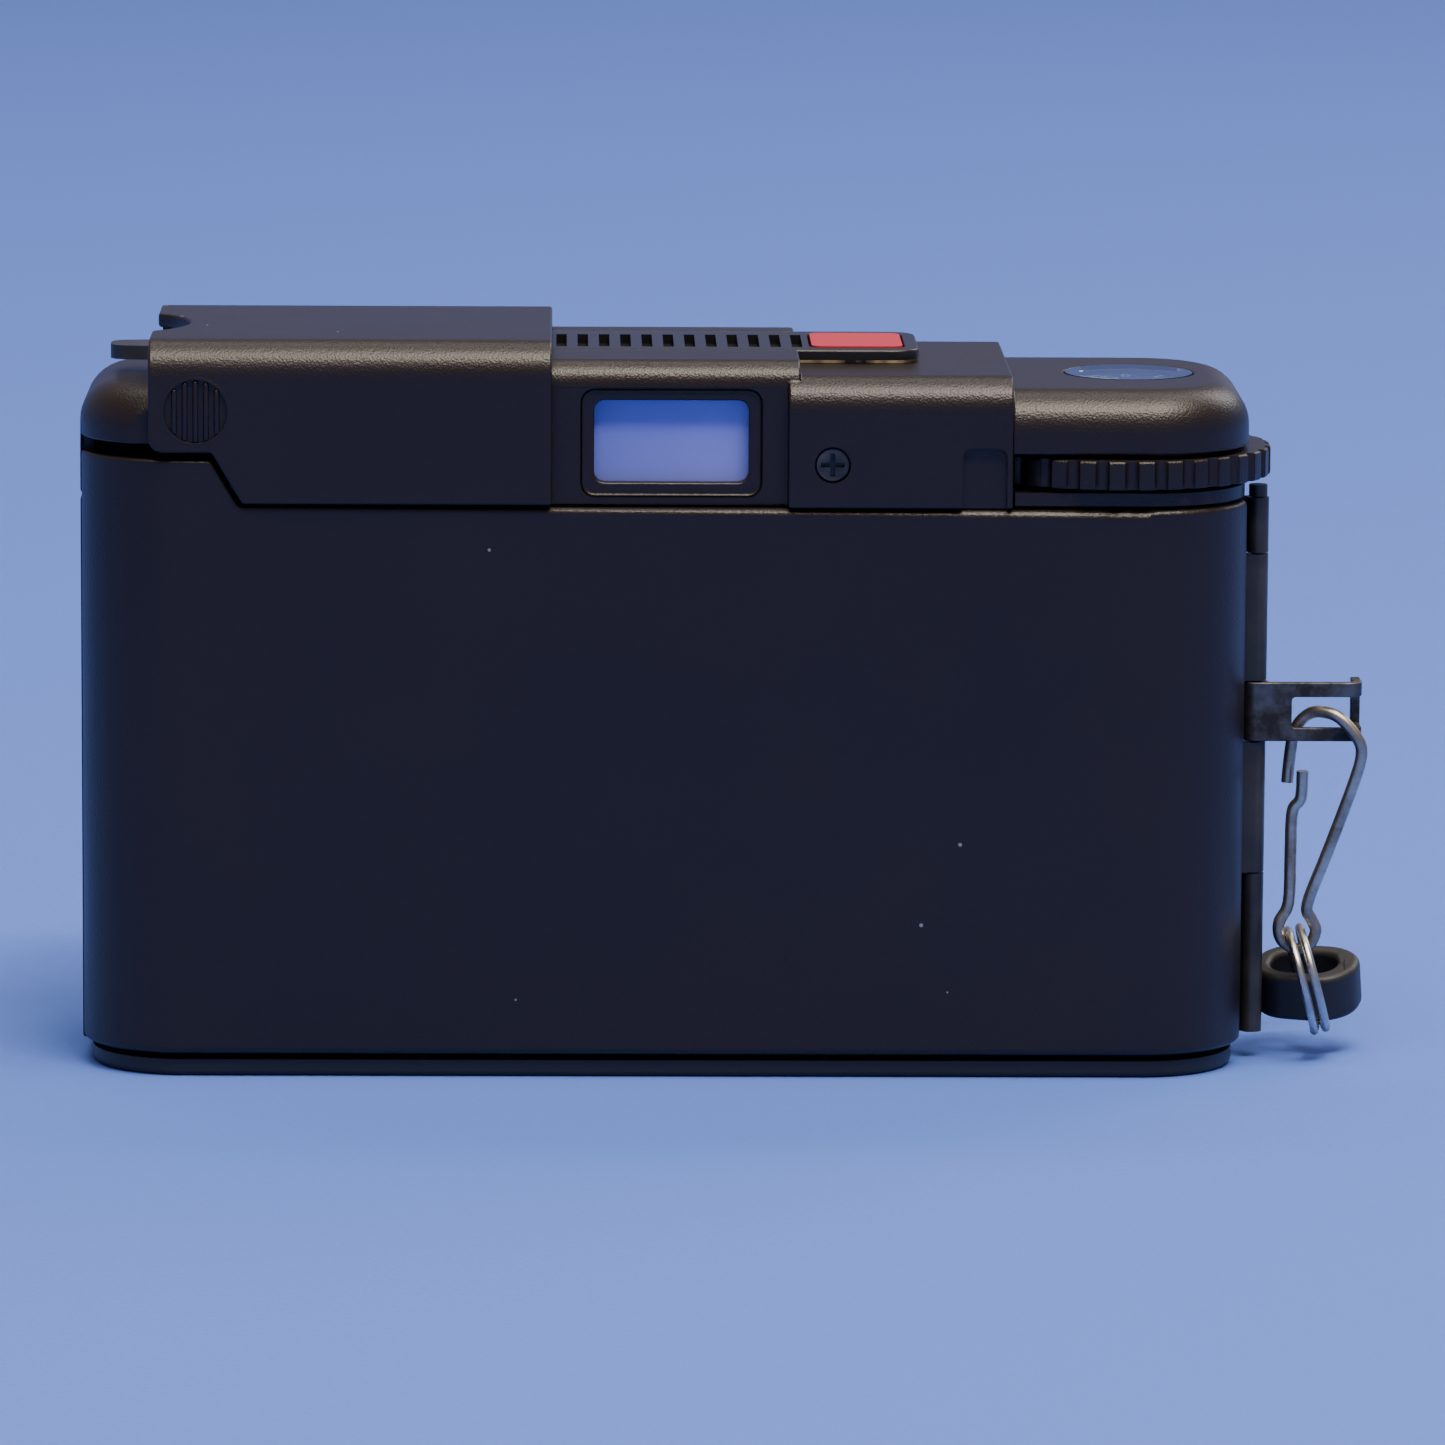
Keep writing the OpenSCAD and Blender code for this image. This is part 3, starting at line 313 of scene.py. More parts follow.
def red_plastic(name):
    """Red moulded plastic with a little dust."""
    m, t, s = start_material(name, rough=0.42)
    gr = use_group(t, grain_group, Scale=2600.0)
    du = use_group(t, dust_group, Amount=0.3)
    base = mix_color(t, gr.outputs["Tone"], (0.46, 0.014, 0.02), (0.55, 0.026, 0.034))
    t.links.new(mix_color(t, du.outputs["Mask"], base, (0.6, 0.4, 0.4)), s.inputs["Base Color"])
    bump(t, s, gr.outputs["Height"], 0.2, 0.00005)
    return m


def rubbed_black():
    """Smooth black, rubbed down to the brass along the foot of the strip beside the release."""
    m = black_moulding("rubbed_black", *SMOOTH_BLACK, relief=0.14)
    t, s = m.node_tree, m.node_tree.nodes["Principled BSDF"]
    at = on_object(t)
    place = axes_of(t, at)
    foot = math_node(t, "LESS_THAN", place["Z"], 60.7 * MM)
    side = math_node(t, "GREATER_THAN", place["X"], 8.5 * MM)
    back = math_node(t, "LESS_THAN", place["Y"], 1.0 * MM)
    patchy = ramp(t, noise(t, at, 420.0, 4.0), 0.36, 0.6)
    mask = times(t, times(t, foot, side), times(t, back, patchy))
    black = s.inputs["Base Color"].links[0].from_socket
    t.links.new(mix_color(t, mask, black, BRASS), s.inputs["Base Color"])
    return m


def glass_with_painted_reflection(name):
    """Eyepiece glass with a pale coating; its blue colour, lighter across the glass, is a painted soft
    reflection of the room.
    """
    m, t, s = start_material(name, rough=0.06)
    s.inputs["Transmission Weight"].default_value = 0.22
    s.inputs["IOR"].default_value = 1.35
    at = on_object(t)
    # painted reflection: the base colour goes from darker to lighter blue across the glass in place of the
    # room's reflection
    painted_reflection_x = plus(t, axes_of(t, at)["X"], times(t, noise(t, at, 130.0), 6 * MM))
    across = ramp(t, painted_reflection_x, -3 * MM, 7.5 * MM)
    t.links.new(mix_color(t, across, (0.23, 0.245, 0.7), (0.29, 0.3, 0.8)), s.inputs["Base Color"])
    return m


# Dark and light tone, roughness, grain per metre and dust of the smooth black pieces
SMOOTH_BLACK = ((0.0070, 0.0055, 0.0055), (0.0095, 0.0078, 0.0075), 0.34, 3600.0, 0.4)
BRASS = (0.42, 0.3, 0.16)

slots = {
    "black_shell": black_moulding("satin_black_shell", (0.0085, 0.0044, 0.0040), (0.0108, 0.0060, 0.0055),
                                  0.37, 5600.0, 0.6, relief=0.42),
    "black_gloss": black_moulding("smooth_black", *SMOOTH_BLACK, relief=0.14),
    "inner_black": black_moulding("matt_inner_black", (0.012, 0.012, 0.013), (0.018, 0.018, 0.019),
                                  0.72, 1800.0, 0.15),
    "blackened_metal": black_moulding("blackened_metal", (0.0125, 0.011, 0.0115), (0.018, 0.016, 0.0155),
                                      0.38, 4200.0, 0.3, 0.15, (0.2, 0.17, 0.13), 0.15),
    "screw_black": black_moulding("screw_black", (0.008, 0.008, 0.009), (0.012, 0.012, 0.013),
                                  0.3, 4200.0, 0.2, 0.5, (0.16, 0.15, 0.14), 0.15),
    "rubber_black": black_moulding("strap_rubber", (0.011, 0.010, 0.011), (0.02, 0.018, 0.018),
                                   0.5, 1500.0, 0.5, 0.3, (0.05, 0.045, 0.04), 0.3),
    "foam": black_moulding("seal_foam", (0.012, 0.012, 0.013), (0.02, 0.02, 0.02),
                           0.9, 900.0, 0.1, relief=0.8),
    "steel": worn_metal("bright_steel", (0.62, 0.6, 0.57), (0.36, 0.33, 0.29), 0.24, 900.0),
    "aged_brass": worn_metal("tarnished_wire", (0.52, 0.45, 0.34), (0.17, 0.13, 0.09),
                             0.3, 700.0, stain=(0.35, 0.7)),
    "bare_metal": worn_metal("dark_sheet_metal", (0.17, 0.15, 0.13), (0.05, 0.044, 0.042),
                             0.42, 800.0, 0.2, (0.35, 0.6)),
    "red_button": red_plastic("release_red"),
    "glass": clear_glass("clear_glass", (0.93, 0.95, 1.0)),
    "mirror": worn_metal("silvered_glass", (0.9, 0.9, 0.92), (0.8, 0.8, 0.83), 0.12, 200.0, 0.0),
    "board": laminate("green_laminate"),
    "dial_white": printed_dial("printed_dial"),
}


def dress(obj, material):
    obj.data.materials.clear()
    obj.data.materials.append(material)


slot_of = {s["node"]: s["material_slot"] for s in frame["record"]["subparts"]}
for name, obj in nodes.items():
    dress(obj, slots[slot_of[name]])


# ---- tools for shaping pieces, in millimetres of the shared frame ----

def clear_selection():
    bpy.ops.object.select_all(action="DESELECT")


def only(obj):
    clear_selection()
    obj.hide_set(False)
    obj.select_set(True)
    bpy.context.view_layer.objects.active = obj
    return obj


def settle(obj):
    """Puts the piece's place into its mesh."""
    only(obj)
    bpy.ops.object.transform_apply(location=True, rotation=True, scale=True)
    return obj


def block(name, x0, x1, y0, y1, z0, z1):
    """A box between the limits given."""
    clear_selection()
    middle = ((x0 + x1) / 2 * MM, (y0 + y1) / 2 * MM, (z0 + z1) / 2 * MM)
    bpy.ops.mesh.primitive_cube_add(size=1, location=middle)
    obj = bpy.context.object
    obj.name = name
    obj.scale = ((x1 - x0) * MM, (y1 - y0) * MM, (z1 - z0) * MM)
    return settle(obj)


def round_bar(name, x, y, z, r, length, axis="Z", sides=64):
    """A cylinder whose middle is at the place given."""
    clear_selection()
    turn = {"Z": (0, 0, 0), "Y": (math.pi / 2, 0, 0), "X": (0, math.pi / 2, 0)}[axis]
    bpy.ops.mesh.primitive_cylinder_add(vertices=sides, radius=r * MM, depth=length * MM,
                                        location=(x * MM, y * MM, z * MM), rotation=turn)
    obj = bpy.context.object
    obj.name = name
    return settle(obj)


def bevel_where(obj, wanted, width, segments):
    """Rounds the edges for whose two ends, in millimetres, wanted says yes."""
    only(obj)
    bpy.ops.object.mode_set(mode="EDIT")
    bpy.ops.mesh.select_all(action="DESELECT")
    bpy.ops.mesh.select_mode(type="EDGE")
    bpy.ops.object.mode_set(mode="OBJECT")
    for e in obj.data.edges:
        a, b = (obj.data.vertices[i].co / MM for i in e.vertices)
        e.select = bool(wanted(a, b))
    bpy.ops.object.mode_set(mode="EDIT")
    bpy.ops.mesh.bevel(offset=width * MM, segments=segments, profile=0.5, affect="EDGES",
                       clamp_overlap=False)
    bpy.ops.object.mode_set(mode="OBJECT")
    return obj


def place_corners(obj, wanted, x):
    """Moves to the given x the corners for whose place, in millimetres, wanted says yes."""
    only(obj)
    for v in obj.data.vertices:
        if wanted(v.co / MM):
            v.co.x = x * MM
    return obj


def along(axis, test=lambda p: True):
    """Edges that run along an axis and whose middle passes the test."""
    k = "xyz".index(axis)

    def wanted(a, b):
        d = b - a
        return d.length > 0.2 and abs(d[k]) > 0.98 * d.length and test((a + b) / 2)
    return wanted


def combine(obj, other, how="DIFFERENCE"):
    """Cuts the other piece out, or joins it on, and removes it."""
    only(obj)
    m = obj.modifiers.new("shape", "BOOLEAN")
    m.operation, m.object, m.solver = how, other, "MANIFOLD"
    bpy.ops.object.modifier_apply(modifier=m.name)
    bpy.data.objects.remove(other, do_unlink=True)
    return obj


def soften(obj, width, segments=3, angle=32, crisp_cuts=()):
    """Rounds every hard edge a little, makes the cuts that stay crisp, and evens out the shading."""
    only(obj)
    m = obj.modifiers.new("edges", "BEVEL")
    m.width, m.segments, m.limit_method, m.angle_limit = width * MM, segments, "ANGLE", math.radians(angle)
    m.use_clamp_overlap, m.harden_normals, m.miter_outer = False, False, "MITER_ARC"
    bpy.ops.object.modifier_apply(modifier=m.name)
    for cutter in crisp_cuts:
        combine(obj, cutter)
    only(obj)
    bpy.ops.object.shade_smooth_by_angle(angle=math.radians(35))
    m = obj.modifiers.new("normals", "WEIGHTED_NORMAL")
    m.keep_sharp = True
    bpy.ops.object.modifier_apply(modifier=m.name)
    return obj


def finish_piece(obj, name, body, slot, *stands_for):
    """Names a modelled piece, dresses it, hangs it on the body it rides on and hides the parts it stands for.
    """
    obj.name = name
    obj.data.name = name
    dress(obj, slots[slot])
    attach(obj, body)
    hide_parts(*stands_for)
    return obj


# ---- sizes and places, in millimetres of the shared frame ----

# Half the body's width and depth, and the radius of its upright corners
HW, HD = 50.0, 14.5
CORNER = 9.0
# Heights: foot of the core, deck on which the top cover stands, tops of dome, middle and right block
CORE_Z, DECK_Z, DOME_Z, MID_Z, BLOCK_Z = 2.0, 49.2, 59.2, 61.6, 60.4
# Base plate: its thickness, and how far it stays inside the body's outline
BASE_T, BASE_INSET = 1.5, 0.8
# Walls of the door and of the other shells
DOOR_WALL, SHELL = 1.4, 1.3
# Back faces of the top cover behind the slide, and of the hollow behind the cover's flange
SLIDE_Y, FLANGE_Y = -13.5, -13.8
# Sliding cover: its ends, top, back and front, its wall and its gap to the body
COVER_X0, COVER_X1 = -43.8, -9.7
COVER_TOP, COVER_BACK, COVER_FRONT = 63.3, -15.0, 25.2
COVER_WALL, SLIDE_GAP = 1.2, 0.3
# Door: its front edge, and its raised end with the slope down to the ledge
DOOR_EDGE_Y = -7.0
STEP_Z, STEP_X, STEP_FOOT_X = 53.2, COVER_X0 + 5.3, COVER_X0 + 7.65
# Top cover: left end of the middle, ends of the right block, floor over the wheel
MID_X0, BLOCK_X0, BLOCK_X1, FLOOR_Z = -21.0, 10.35, 29.4, 53.9
# Lens and film, finder window, rewind axis, release, screw on the right block, frame counter
LENS_X, FILM_Z = 0.3, 25.6
FINDER_X, FINDER_Z = 0.45, 54.8
CASSETTE_X = -35.6
BUTTON_X, BUTTON_Y = 16.5, 2.5
SCREW_X, SCREW_Z = 14.1, 53.0
COUNTER_X, COUNTER_Y, DIAL_Z = 40.0, 0.6, 57.4
# Ribbed strip: its back and front edges, its right end, and its slots
STRIP_Y0, STRIP_Y1, STRIP_REACH = -4.2, 9.5, 21.8
SLOT_PITCH, SLOT_HALF, SLOT_COUNT = 1.84, 0.45, 16
# Thumb wheel
WHEEL_X, WHEEL_Y, WHEEL_R = 38.8, -2.4, 13.3
WHEEL_Z0, WHEEL_T, WHEEL_GROOVES = 51.0, 2.5, 33
# Finger grip on the cover's flange
GRIP_X, GRIP_Z, GRIP_R, GRIP_PITCH = COVER_X0 + 4, DECK_Z + 8.2, 2.7, 0.9
# Hinge pin, and the lug on it
HINGE_X, HINGE_Y, LUG_Z0, LUG_Z1, LUG_Y = 51.0, -4.0, 27.9, 33.0, -5.15
# Split ring: middle, radius, wire and half the distance of its coils
RING_AT, RING_R, RING_WIRE, COIL_RISE = Vector((55.85, -3.9, 6.85)), 4.5, 0.38, 0.52
# How far cutters reach past the object
FAR = 80


def body_slab(name, inset, z0, z1):
    """The body's outline, made smaller by the inset, between two heights."""
    s = block(name, -HW + inset, HW - inset, -HD + inset, HD - inset, z0, z1)
    return bevel_where(s, along("z"), CORNER - inset, 14)


def on_outside(p):
    """Whether a point lies on the outer face of the body's rounded outline."""
    over = max(abs(p.x) - (HW - CORNER), 0.0), max(abs(p.y) - (HD - CORNER), 0.0)
    return math.hypot(*over) > CORNER - 0.1


# ---- back door ----

def make_back_door():
    """Plain door with a raised, sloped end on the left and a ledge over the rest."""
    door = body_slab("back_door_shell", 0, CORE_Z, STEP_Z)
    bevel_where(door, lambda a, b: max(a.z, b.z) < CORE_Z + 0.05 and min(a.y, b.y) < 0, 0.7, 4)
    combine(door, body_slab("inside", DOOR_WALL, -5, FAR))
    combine(door, block("front_half", -FAR, FAR, DOOR_EDGE_Y, FAR, -5, FAR))
    combine(door, block("over_the_ledge", STEP_FOOT_X, FAR, -FAR, FAR, DECK_Z, FAR))
    wedge = block("sloped_end", STEP_X, STEP_FOOT_X + 6, -FAR, FAR, DECK_Z, FAR)
    head_x = STEP_FOOT_X + (STEP_X - STEP_FOOT_X) * (FAR - DECK_Z) / (STEP_Z - DECK_Z)
    place_corners(wedge, lambda p: p.z < DECK_Z + 1 and p.x < STEP_X + 1, STEP_FOOT_X)
    place_corners(wedge, lambda p: p.z > DECK_Z + 1 and p.x < STEP_X + 1, head_x)
    combine(door, wedge)

    def top_lip(p):
        return abs(p.z - DECK_Z) < 0.05 and on_outside(p)
    bevel_where(door, lambda a, b: top_lip(a) and top_lip(b), 0.55, 4)
    soften(door, 0.32, 3)
    return finish_piece(door, "door_panel", "door", "black_shell", "back_door")


# ---- base plate ----

def make_base():
    """Base plate with the holes for the tripod bush, the cell, the rewind button and the screws."""
    base = body_slab("base", BASE_INSET, 0, BASE_T)
    bevel_where(base, lambda a, b: max(a.z, b.z) < 0.05, 0.55, 4)
    combine(base, round_bar("tripod_hole", -14, -3.5, 1, 4.62, 6))
    combine(base, round_bar("cell_hole", 10, 4, 1, 7.1, 6))
    combine(base, round_bar("button_hole", 24.2, -6.7, 1, 1.75, 6, sides=32))
    combine(base, block("lever_slot", -33.2, -7.4, 5.6, 40, -2, 6))
    for x, y in ((-45.5, 6.5), (-20.5, -9.5), (14, -9.5), (46.9, 8.3)):
        combine(base, round_bar("screw_hole", x, y, 1, 1.5, 6, sides=32))
    soften(base, 0.12, 2)
    return finish_piece(base, "base_panel", "root", "blackened_metal", "base_plate")


def top_rounded(obj, z, radius, segments):
    """Rounds the rim at height z."""
    return bevel_where(obj, lambda a, b: max(abs(a.z - z), abs(b.z - z)) < 0.02, radius, segments)


def button_cut(z0):
    """Cutter for the release's rounded hole, from a height upwards."""
    cut = block("button_hole", BUTTON_X - 4.1, BUTTON_X + 4.1, BUTTON_Y - 5.2, BUTTON_Y + 5.2, z0, FAR)
    return bevel_where(cut, along("z"), 1.2, 6)


def window_cut(name, half_x, z0, z1, y1, corner):
    """Cutter for an opening with round corners at the finder, from the back up to y1."""
    cut = block(name, FINDER_X - half_x, FINDER_X + half_x, -FAR, y1, FINDER_Z + z0, FINDER_Z + z1)
    return bevel_where(cut, along("y"), corner, 6)


# ---- top cover ----

def make_top_cover():
    """Top shell: left end, raised middle with the finder, right block, and dome over the wheel."""
    dome = body_slab("top_shell", 0, DECK_Z + 0.2, DOME_Z)
    top_rounded(dome, DOME_Z, 3.6, 10)
    combine(dome, block("behind_the_slide", -FAR, BLOCK_X0, -FAR, SLIDE_Y, 0, FAR))
    middle = block("middle", MID_X0, BLOCK_X0 + 1, SLIDE_Y, HD, DECK_Z + 0.1, MID_Z)
    bevel_where(middle, along("x", lambda p: p.z > 60), 2.2, 8)
    right = block("right_block", BLOCK_X0, BLOCK_X1, -HD - 0.3, HD + 0.7, DECK_Z + 0.1, BLOCK_Z)
    bevel_where(right, along("x", lambda p: p.z > 60), 2.9, 9)
    combine(dome, middle, "UNION")
    combine(dome, right, "UNION")
    hollow = body_slab("hollow", SHELL, 0, DOME_Z - SHELL)
    combine(hollow, block("keep_back", -FAR, BLOCK_X0, -FAR, SLIDE_Y + SHELL, -1, FAR))
    combine(hollow, block("keep_floor", BLOCK_X1, FAR, -FAR, FAR, FLOOR_Z, FLOOR_Z + 1.1))
    combine(dome, hollow)
    combine(dome, block("finder_room", MID_X0 + SHELL, BLOCK_X1 - SHELL,
                        SLIDE_Y + SHELL, HD - SHELL, 48, DOME_Z))
    combine(dome, block("block_room", BLOCK_X0 + 1.3, BLOCK_X1 - SHELL, -HD + 1, HD - 0.6, 48, 58.2))
    combine(dome, block("door_room", -FAR, STEP_FOOT_X + 0.5, -FAR, DOOR_EDGE_Y + 0.4, 0, STEP_Z + 1.2))
    combine(dome, block("wheel_slot", BLOCK_X1, FAR, -FAR, 6.3, 0, FLOOR_Z))
    wheel_foot = WHEEL_Z0 - SLIDE_GAP
    combine(dome, round_bar("wheel_room", WHEEL_X, WHEEL_Y, (wheel_foot + FLOOR_Z) / 2,
                            WHEEL_R + 0.5, FLOOR_Z - wheel_foot, sides=96))
    combine(dome, round_bar("shaft_room", WHEEL_X, WHEEL_Y, 53, 2.2, 3.2, sides=40))
    combine(dome, block("strip_recess", MID_X0 + 1, BLOCK_X0 + 2,
                        STRIP_Y0 - 0.2, STRIP_Y1 + 0.2, BLOCK_Z, FAR))
    combine(dome, button_cut(DOME_Z - 1))
    combine(dome, window_cut("window", 6.55, -3.5, 3.5, FAR, 0.9))
    combine(dome, window_cut("window_step", 7.6, -4.6, 4.4, SLIDE_Y + 0.12, 1.1))
    combine(dome, round_bar("range_hole", 21, 14, FINDER_Z, 2.2, 6, "Y", 40))
    combine(dome, round_bar("counter_hole", COUNTER_X, COUNTER_Y, DOME_Z, 5.6, 4, sides=72))
    combine(dome, round_bar("rewind_hole", CASSETTE_X, 0, 58, 2.2, 10, sides=40))
    scoop = block("scoop", BLOCK_X1 - 4.3, BLOCK_X1 - 0.5, -FAR, -HD + 0.25, 30, DECK_Z + 5.3)
    bevel_where(scoop, along("y", lambda p: p.z > 50), 0.8, 5)
    screw_recess = round_bar("screw_recess", SCREW_X, -14.6, SCREW_Z, 1.55, 2, "Y", 48)
    screw_hole = round_bar("screw_hole", SCREW_X, -12, SCREW_Z, 0.85, 8, "Y", 24)
    soften(dome, 0.22, 3, crisp_cuts=(screw_recess, screw_hole, scoop))
    return finish_piece(dome, "top_shell", "root", "black_shell", "top_cover")


# ---- sliding clamshell cover ----

def cover_bar(name, inset, x0, x1):
    """The sliding cover's outline seen from its end: rounded above and below, bulging to the front."""
    bar = block(name, x0, x1, COVER_BACK + inset, COVER_FRONT - inset, 3 + inset, COVER_TOP - inset)
    bevel_where(bar, along("x", lambda p: p.y < 0 and p.z > 60), 3 - inset * 0.9, 8)
    bevel_where(bar, along("x", lambda p: p.y > 20 and p.z > 60), 13 - inset, 24)
    bevel_where(bar, along("x", lambda p: p.y > 20 and p.z < 10), 9 - inset, 18)
    return bar


def plan_bar(name, inset, x1):
    """The sliding cover's outline seen from above, with its rounded left end."""
    bar = block(name, COVER_X0 + inset, x1, -60, COVER_FRONT - inset, -10, 90)
    return bevel_where(bar, along("z", lambda p: p.x < COVER_X0 + 3 and p.y > 20), 9 - inset, 18)


def make_clamshell():
    """Sliding cover: a bulged front, a top, and a flange that hooks over the back."""
    inner_y = HD + SLIDE_GAP
    cover = cover_bar("clamshell", 0, COVER_X0, COVER_X1)
    combine(cover, plan_bar("rounded_end", 0, COVER_X1), "INTERSECT")
    through = cover_bar("through", COVER_WALL, -FAR, FAR)
    combine(through, block("over_the_body", -70, 70, -60, inner_y, -20, 90), "INTERSECT")
    combine(cover, through)
    combine(cover, block("body_room", -FAR, FAR, FLANGE_Y, inner_y, -1, 22))
    hollow = cover_bar("hollow", COVER_WALL, COVER_X0, FAR)
    combine(hollow, plan_bar("hollow_end", COVER_WALL, 70), "INTERSECT")
    combine(cover, hollow)
    combine(cover, block("below_flange", -FAR, FAR, -60, 0, -1, DECK_Z + SLIDE_GAP))
    corner = block("flange_slope", COVER_X0 - 1, COVER_X0 + 8.1, -60, 0, DECK_Z, DECK_Z + 4.65)
    place_corners(corner, lambda p: p.z > DECK_Z + 4 and p.x > COVER_X0, COVER_X0 + 5.35)
    combine(cover, corner)
    combine(cover, round_bar("notch", COVER_X0 + 3 - 8.5, 0, 70, 8.5, 40, sides=96))
    combine(cover, block("rail_groove", -FAR, COVER_X0 + 4, HD, HD + 1.8, CORE_Z + 2.3, CORE_Z + 3.9))
    flange_corner = along("y", lambda p: p.y < -13 and abs(p.z - 53.85) < 0.1 and p.x < -43)
    bevel_where(cover, flange_corner, 1.2, 5)
    dish = round_bar("grip_dish", GRIP_X, COVER_BACK, GRIP_Z, GRIP_R, 0.7, "Y", 56)
    soften(cover, 0.24, 3, crisp_cuts=(dish,))
    finish_piece(cover, "cover_shell", "cover", "black_shell", "clamshell_cover")


def make_grip():
    """Upright ribs in a ring, in the dish on the cover's flange."""
    ribs = None
    for k in range(-2, 3):
        half = math.sqrt((GRIP_R - 0.1) ** 2 - (k * GRIP_PITCH) ** 2)
        rib = round_bar("rib", GRIP_X + k * GRIP_PITCH, COVER_BACK + 0.28, GRIP_Z, 0.24, 2 * half, "Z", 16)
        top_rounded(rib, GRIP_Z + half, 0.15, 3)
        ribs = rib if ribs is None else combine(ribs, rib, "UNION")
    ring = round_bar("grip_ring", GRIP_X, COVER_BACK + 0.08, GRIP_Z, GRIP_R + 0.25, 0.22, "Y", 64)
    combine(ring, round_bar("ring_hole", GRIP_X, COVER_BACK, GRIP_Z, GRIP_R, 2, "Y", 64))
    combine(ribs, ring, "UNION")
    soften(ribs, 0.05, 2)
    finish_piece(ribs, "grip_ribs", "cover", "black_shell")


# ---- front shell ----

def make_front():
    """Front shell with the cover's rail, the lens hole, the lever slots and the meter window."""
    shell = body_slab("front", 0, CORE_Z, 49.0)
    bevel_where(shell, lambda a, b: max(a.z, b.z) < CORE_Z + 0.05 and min(a.y, b.y) > 0, 0.7, 4)
    combine(shell, body_slab("inside", SHELL, -5, FAR))
    combine(shell, block("door_side", -FAR, 0, -FAR, DOOR_EDGE_Y + 0.4, -5, FAR))
    combine(shell, block("hinge_side", 0, FAR, -FAR, -2.6, -5, FAR))
    rail = block("rail", COVER_X0 + 1, BLOCK_X0 - 0.1, HD - 0.1, HD + 1.5, CORE_Z + 2.6, CORE_Z + 3.6)
    combine(shell, rail, "UNION")
    combine(shell, round_bar("lens_hole", LENS_X, 15, FILM_Z, 7.8, 10, "Y", 72))
    combine(shell, block("aperture_slot", 6.9, 8.1, 0, FAR, FILM_Z + 11.6, FILM_Z + 21.7))
    combine(shell, block("speed_slot", -5.4, 7.4, 0, FAR, CORE_Z + 5, CORE_Z + 6.2))
    combine(shell, round_bar("meter_hole", -5.6, 15, FILM_Z + 16, 1.9, 10, "Y", 40))
    combine(shell, block("leaf_seat", HW - 0.6, FAR, -4, 1.2, 2.25, DECK_Z))
    soften(shell, 0.24, 3)
    return finish_piece(shell, "front_shell", "root", "black_shell", "front_cover")


# ---- ribbed strip on top ----

def make_strip():
    """Strip with cross slots that runs under the cover and round the release."""
    strip = block("strip", MID_X0 + 1.2, STRIP_REACH, STRIP_Y0, STRIP_Y1, BLOCK_Z, MID_Z)
    bevel_where(strip, along("z", lambda p: p.x > 0), 2.2, 8)
    top_rounded(strip, MID_Z, 0.25, 3)
    combine(strip, button_cut(0))
    slots_cut = []
    for k in range(SLOT_COUNT):
        x = BLOCK_X0 + 1 - k * SLOT_PITCH
        slots_cut.append(block("slot", x - SLOT_HALF, x + SLOT_HALF,
                               STRIP_Y0 + 1.8, STRIP_Y0 + 10.8, BLOCK_Z + 0.4, 70))
    soften(strip, 0.1, 2, crisp_cuts=slots_cut)
    finish_piece(strip, "ribbed_strip", "root", "black_gloss", "top_strip")
    dress(strip, rubbed_black())
    return strip


# ---- thumb wheel ----

def join_all(made):
    """Joins pieces into the first of them."""
    clear_selection()
    for piece in made:
        piece.select_set(True)
    bpy.context.view_layer.objects.active = made[0]
    bpy.ops.object.join()
    return bpy.context.object


def copies_round(obj, count, x, y):
    """Copies a cutter round a vertical axis and joins the copies into one mesh."""
    made = [obj]
    for k in range(1, count):
        only(obj)
        bpy.ops.object.duplicate()
        c = bpy.context.object
        bpy.ops.transform.rotate(value=-math.tau * k / count, orient_axis="Z",
                                 center_override=(x * MM, y * MM, 0))
        made.append(settle(c))
    return join_all(made)


def make_wheel():
    """Grooved film-advance wheel."""
    wheel = round_bar("wheel", WHEEL_X, WHEEL_Y, WHEEL_Z0 + WHEEL_T / 2, WHEEL_R, WHEEL_T, sides=198)
    top_rounded(wheel, WHEEL_Z0 + WHEEL_T, 0.3, 3)
    top_rounded(wheel, WHEEL_Z0, 0.2, 3)
    groove = round_bar("groove", WHEEL_X + WHEEL_R + 0.12, WHEEL_Y, WHEEL_Z0 + 1, 0.62, 8, sides=14)
    combine(wheel, copies_round(groove, WHEEL_GROOVES, WHEEL_X, WHEEL_Y))
    combine(wheel, round_bar("shaft_hole", WHEEL_X, WHEEL_Y, WHEEL_Z0, 1.5, 9, sides=40))
    soften(wheel, 0.09, 2, 38)
    return finish_piece(wheel, "wheel_rim", "advance", "black_shell", "thumb_wheel")


# ---- strap lug, hook, ring and strap ----

def make_lug():
    """Sheet-metal lug with a bent end, a window for the hook, and its own curl on the hinge pin."""
    lug = block("lug", HINGE_X, 60.2, LUG_Y, LUG_Y + 3.7, LUG_Z0, LUG_Z1)
    bevel_where(lug, along("z", lambda p: p.x > 60 and p.y < -5), 1.1, 6)
    inside = block("inside_bend", HINGE_X - 4, 59.4, LUG_Y + 0.8, 10, 20, 40)
    bevel_where(inside, along("z", lambda p: p.x > 59 and p.y < -4), 0.4, 4)
    combine(lug, inside)
    curl = round_bar("curl", HINGE_X, HINGE_Y, (LUG_Z0 + LUG_Z1) / 2, 1.15, LUG_Z1 - LUG_Z0, sides=48)
    combine(lug, curl, "UNION")
    combine(lug, round_bar("pin_hole", HINGE_X, HINGE_Y, 30, 0.49, 12, sides=32))
    window = block("window", HINGE_X + 3.1, 70, -20, LUG_Y + 2.8, LUG_Z0 + 1.15, LUG_Z1 - 1.25)
    bevel_where(window, along("y", lambda p: p.x < 60), 0.35, 4)
    combine(lug, window)
    soften(lug, 0.11, 3)
    return finish_piece(lug, "lug_plate", "lug", "bare_metal", "strap_lug")


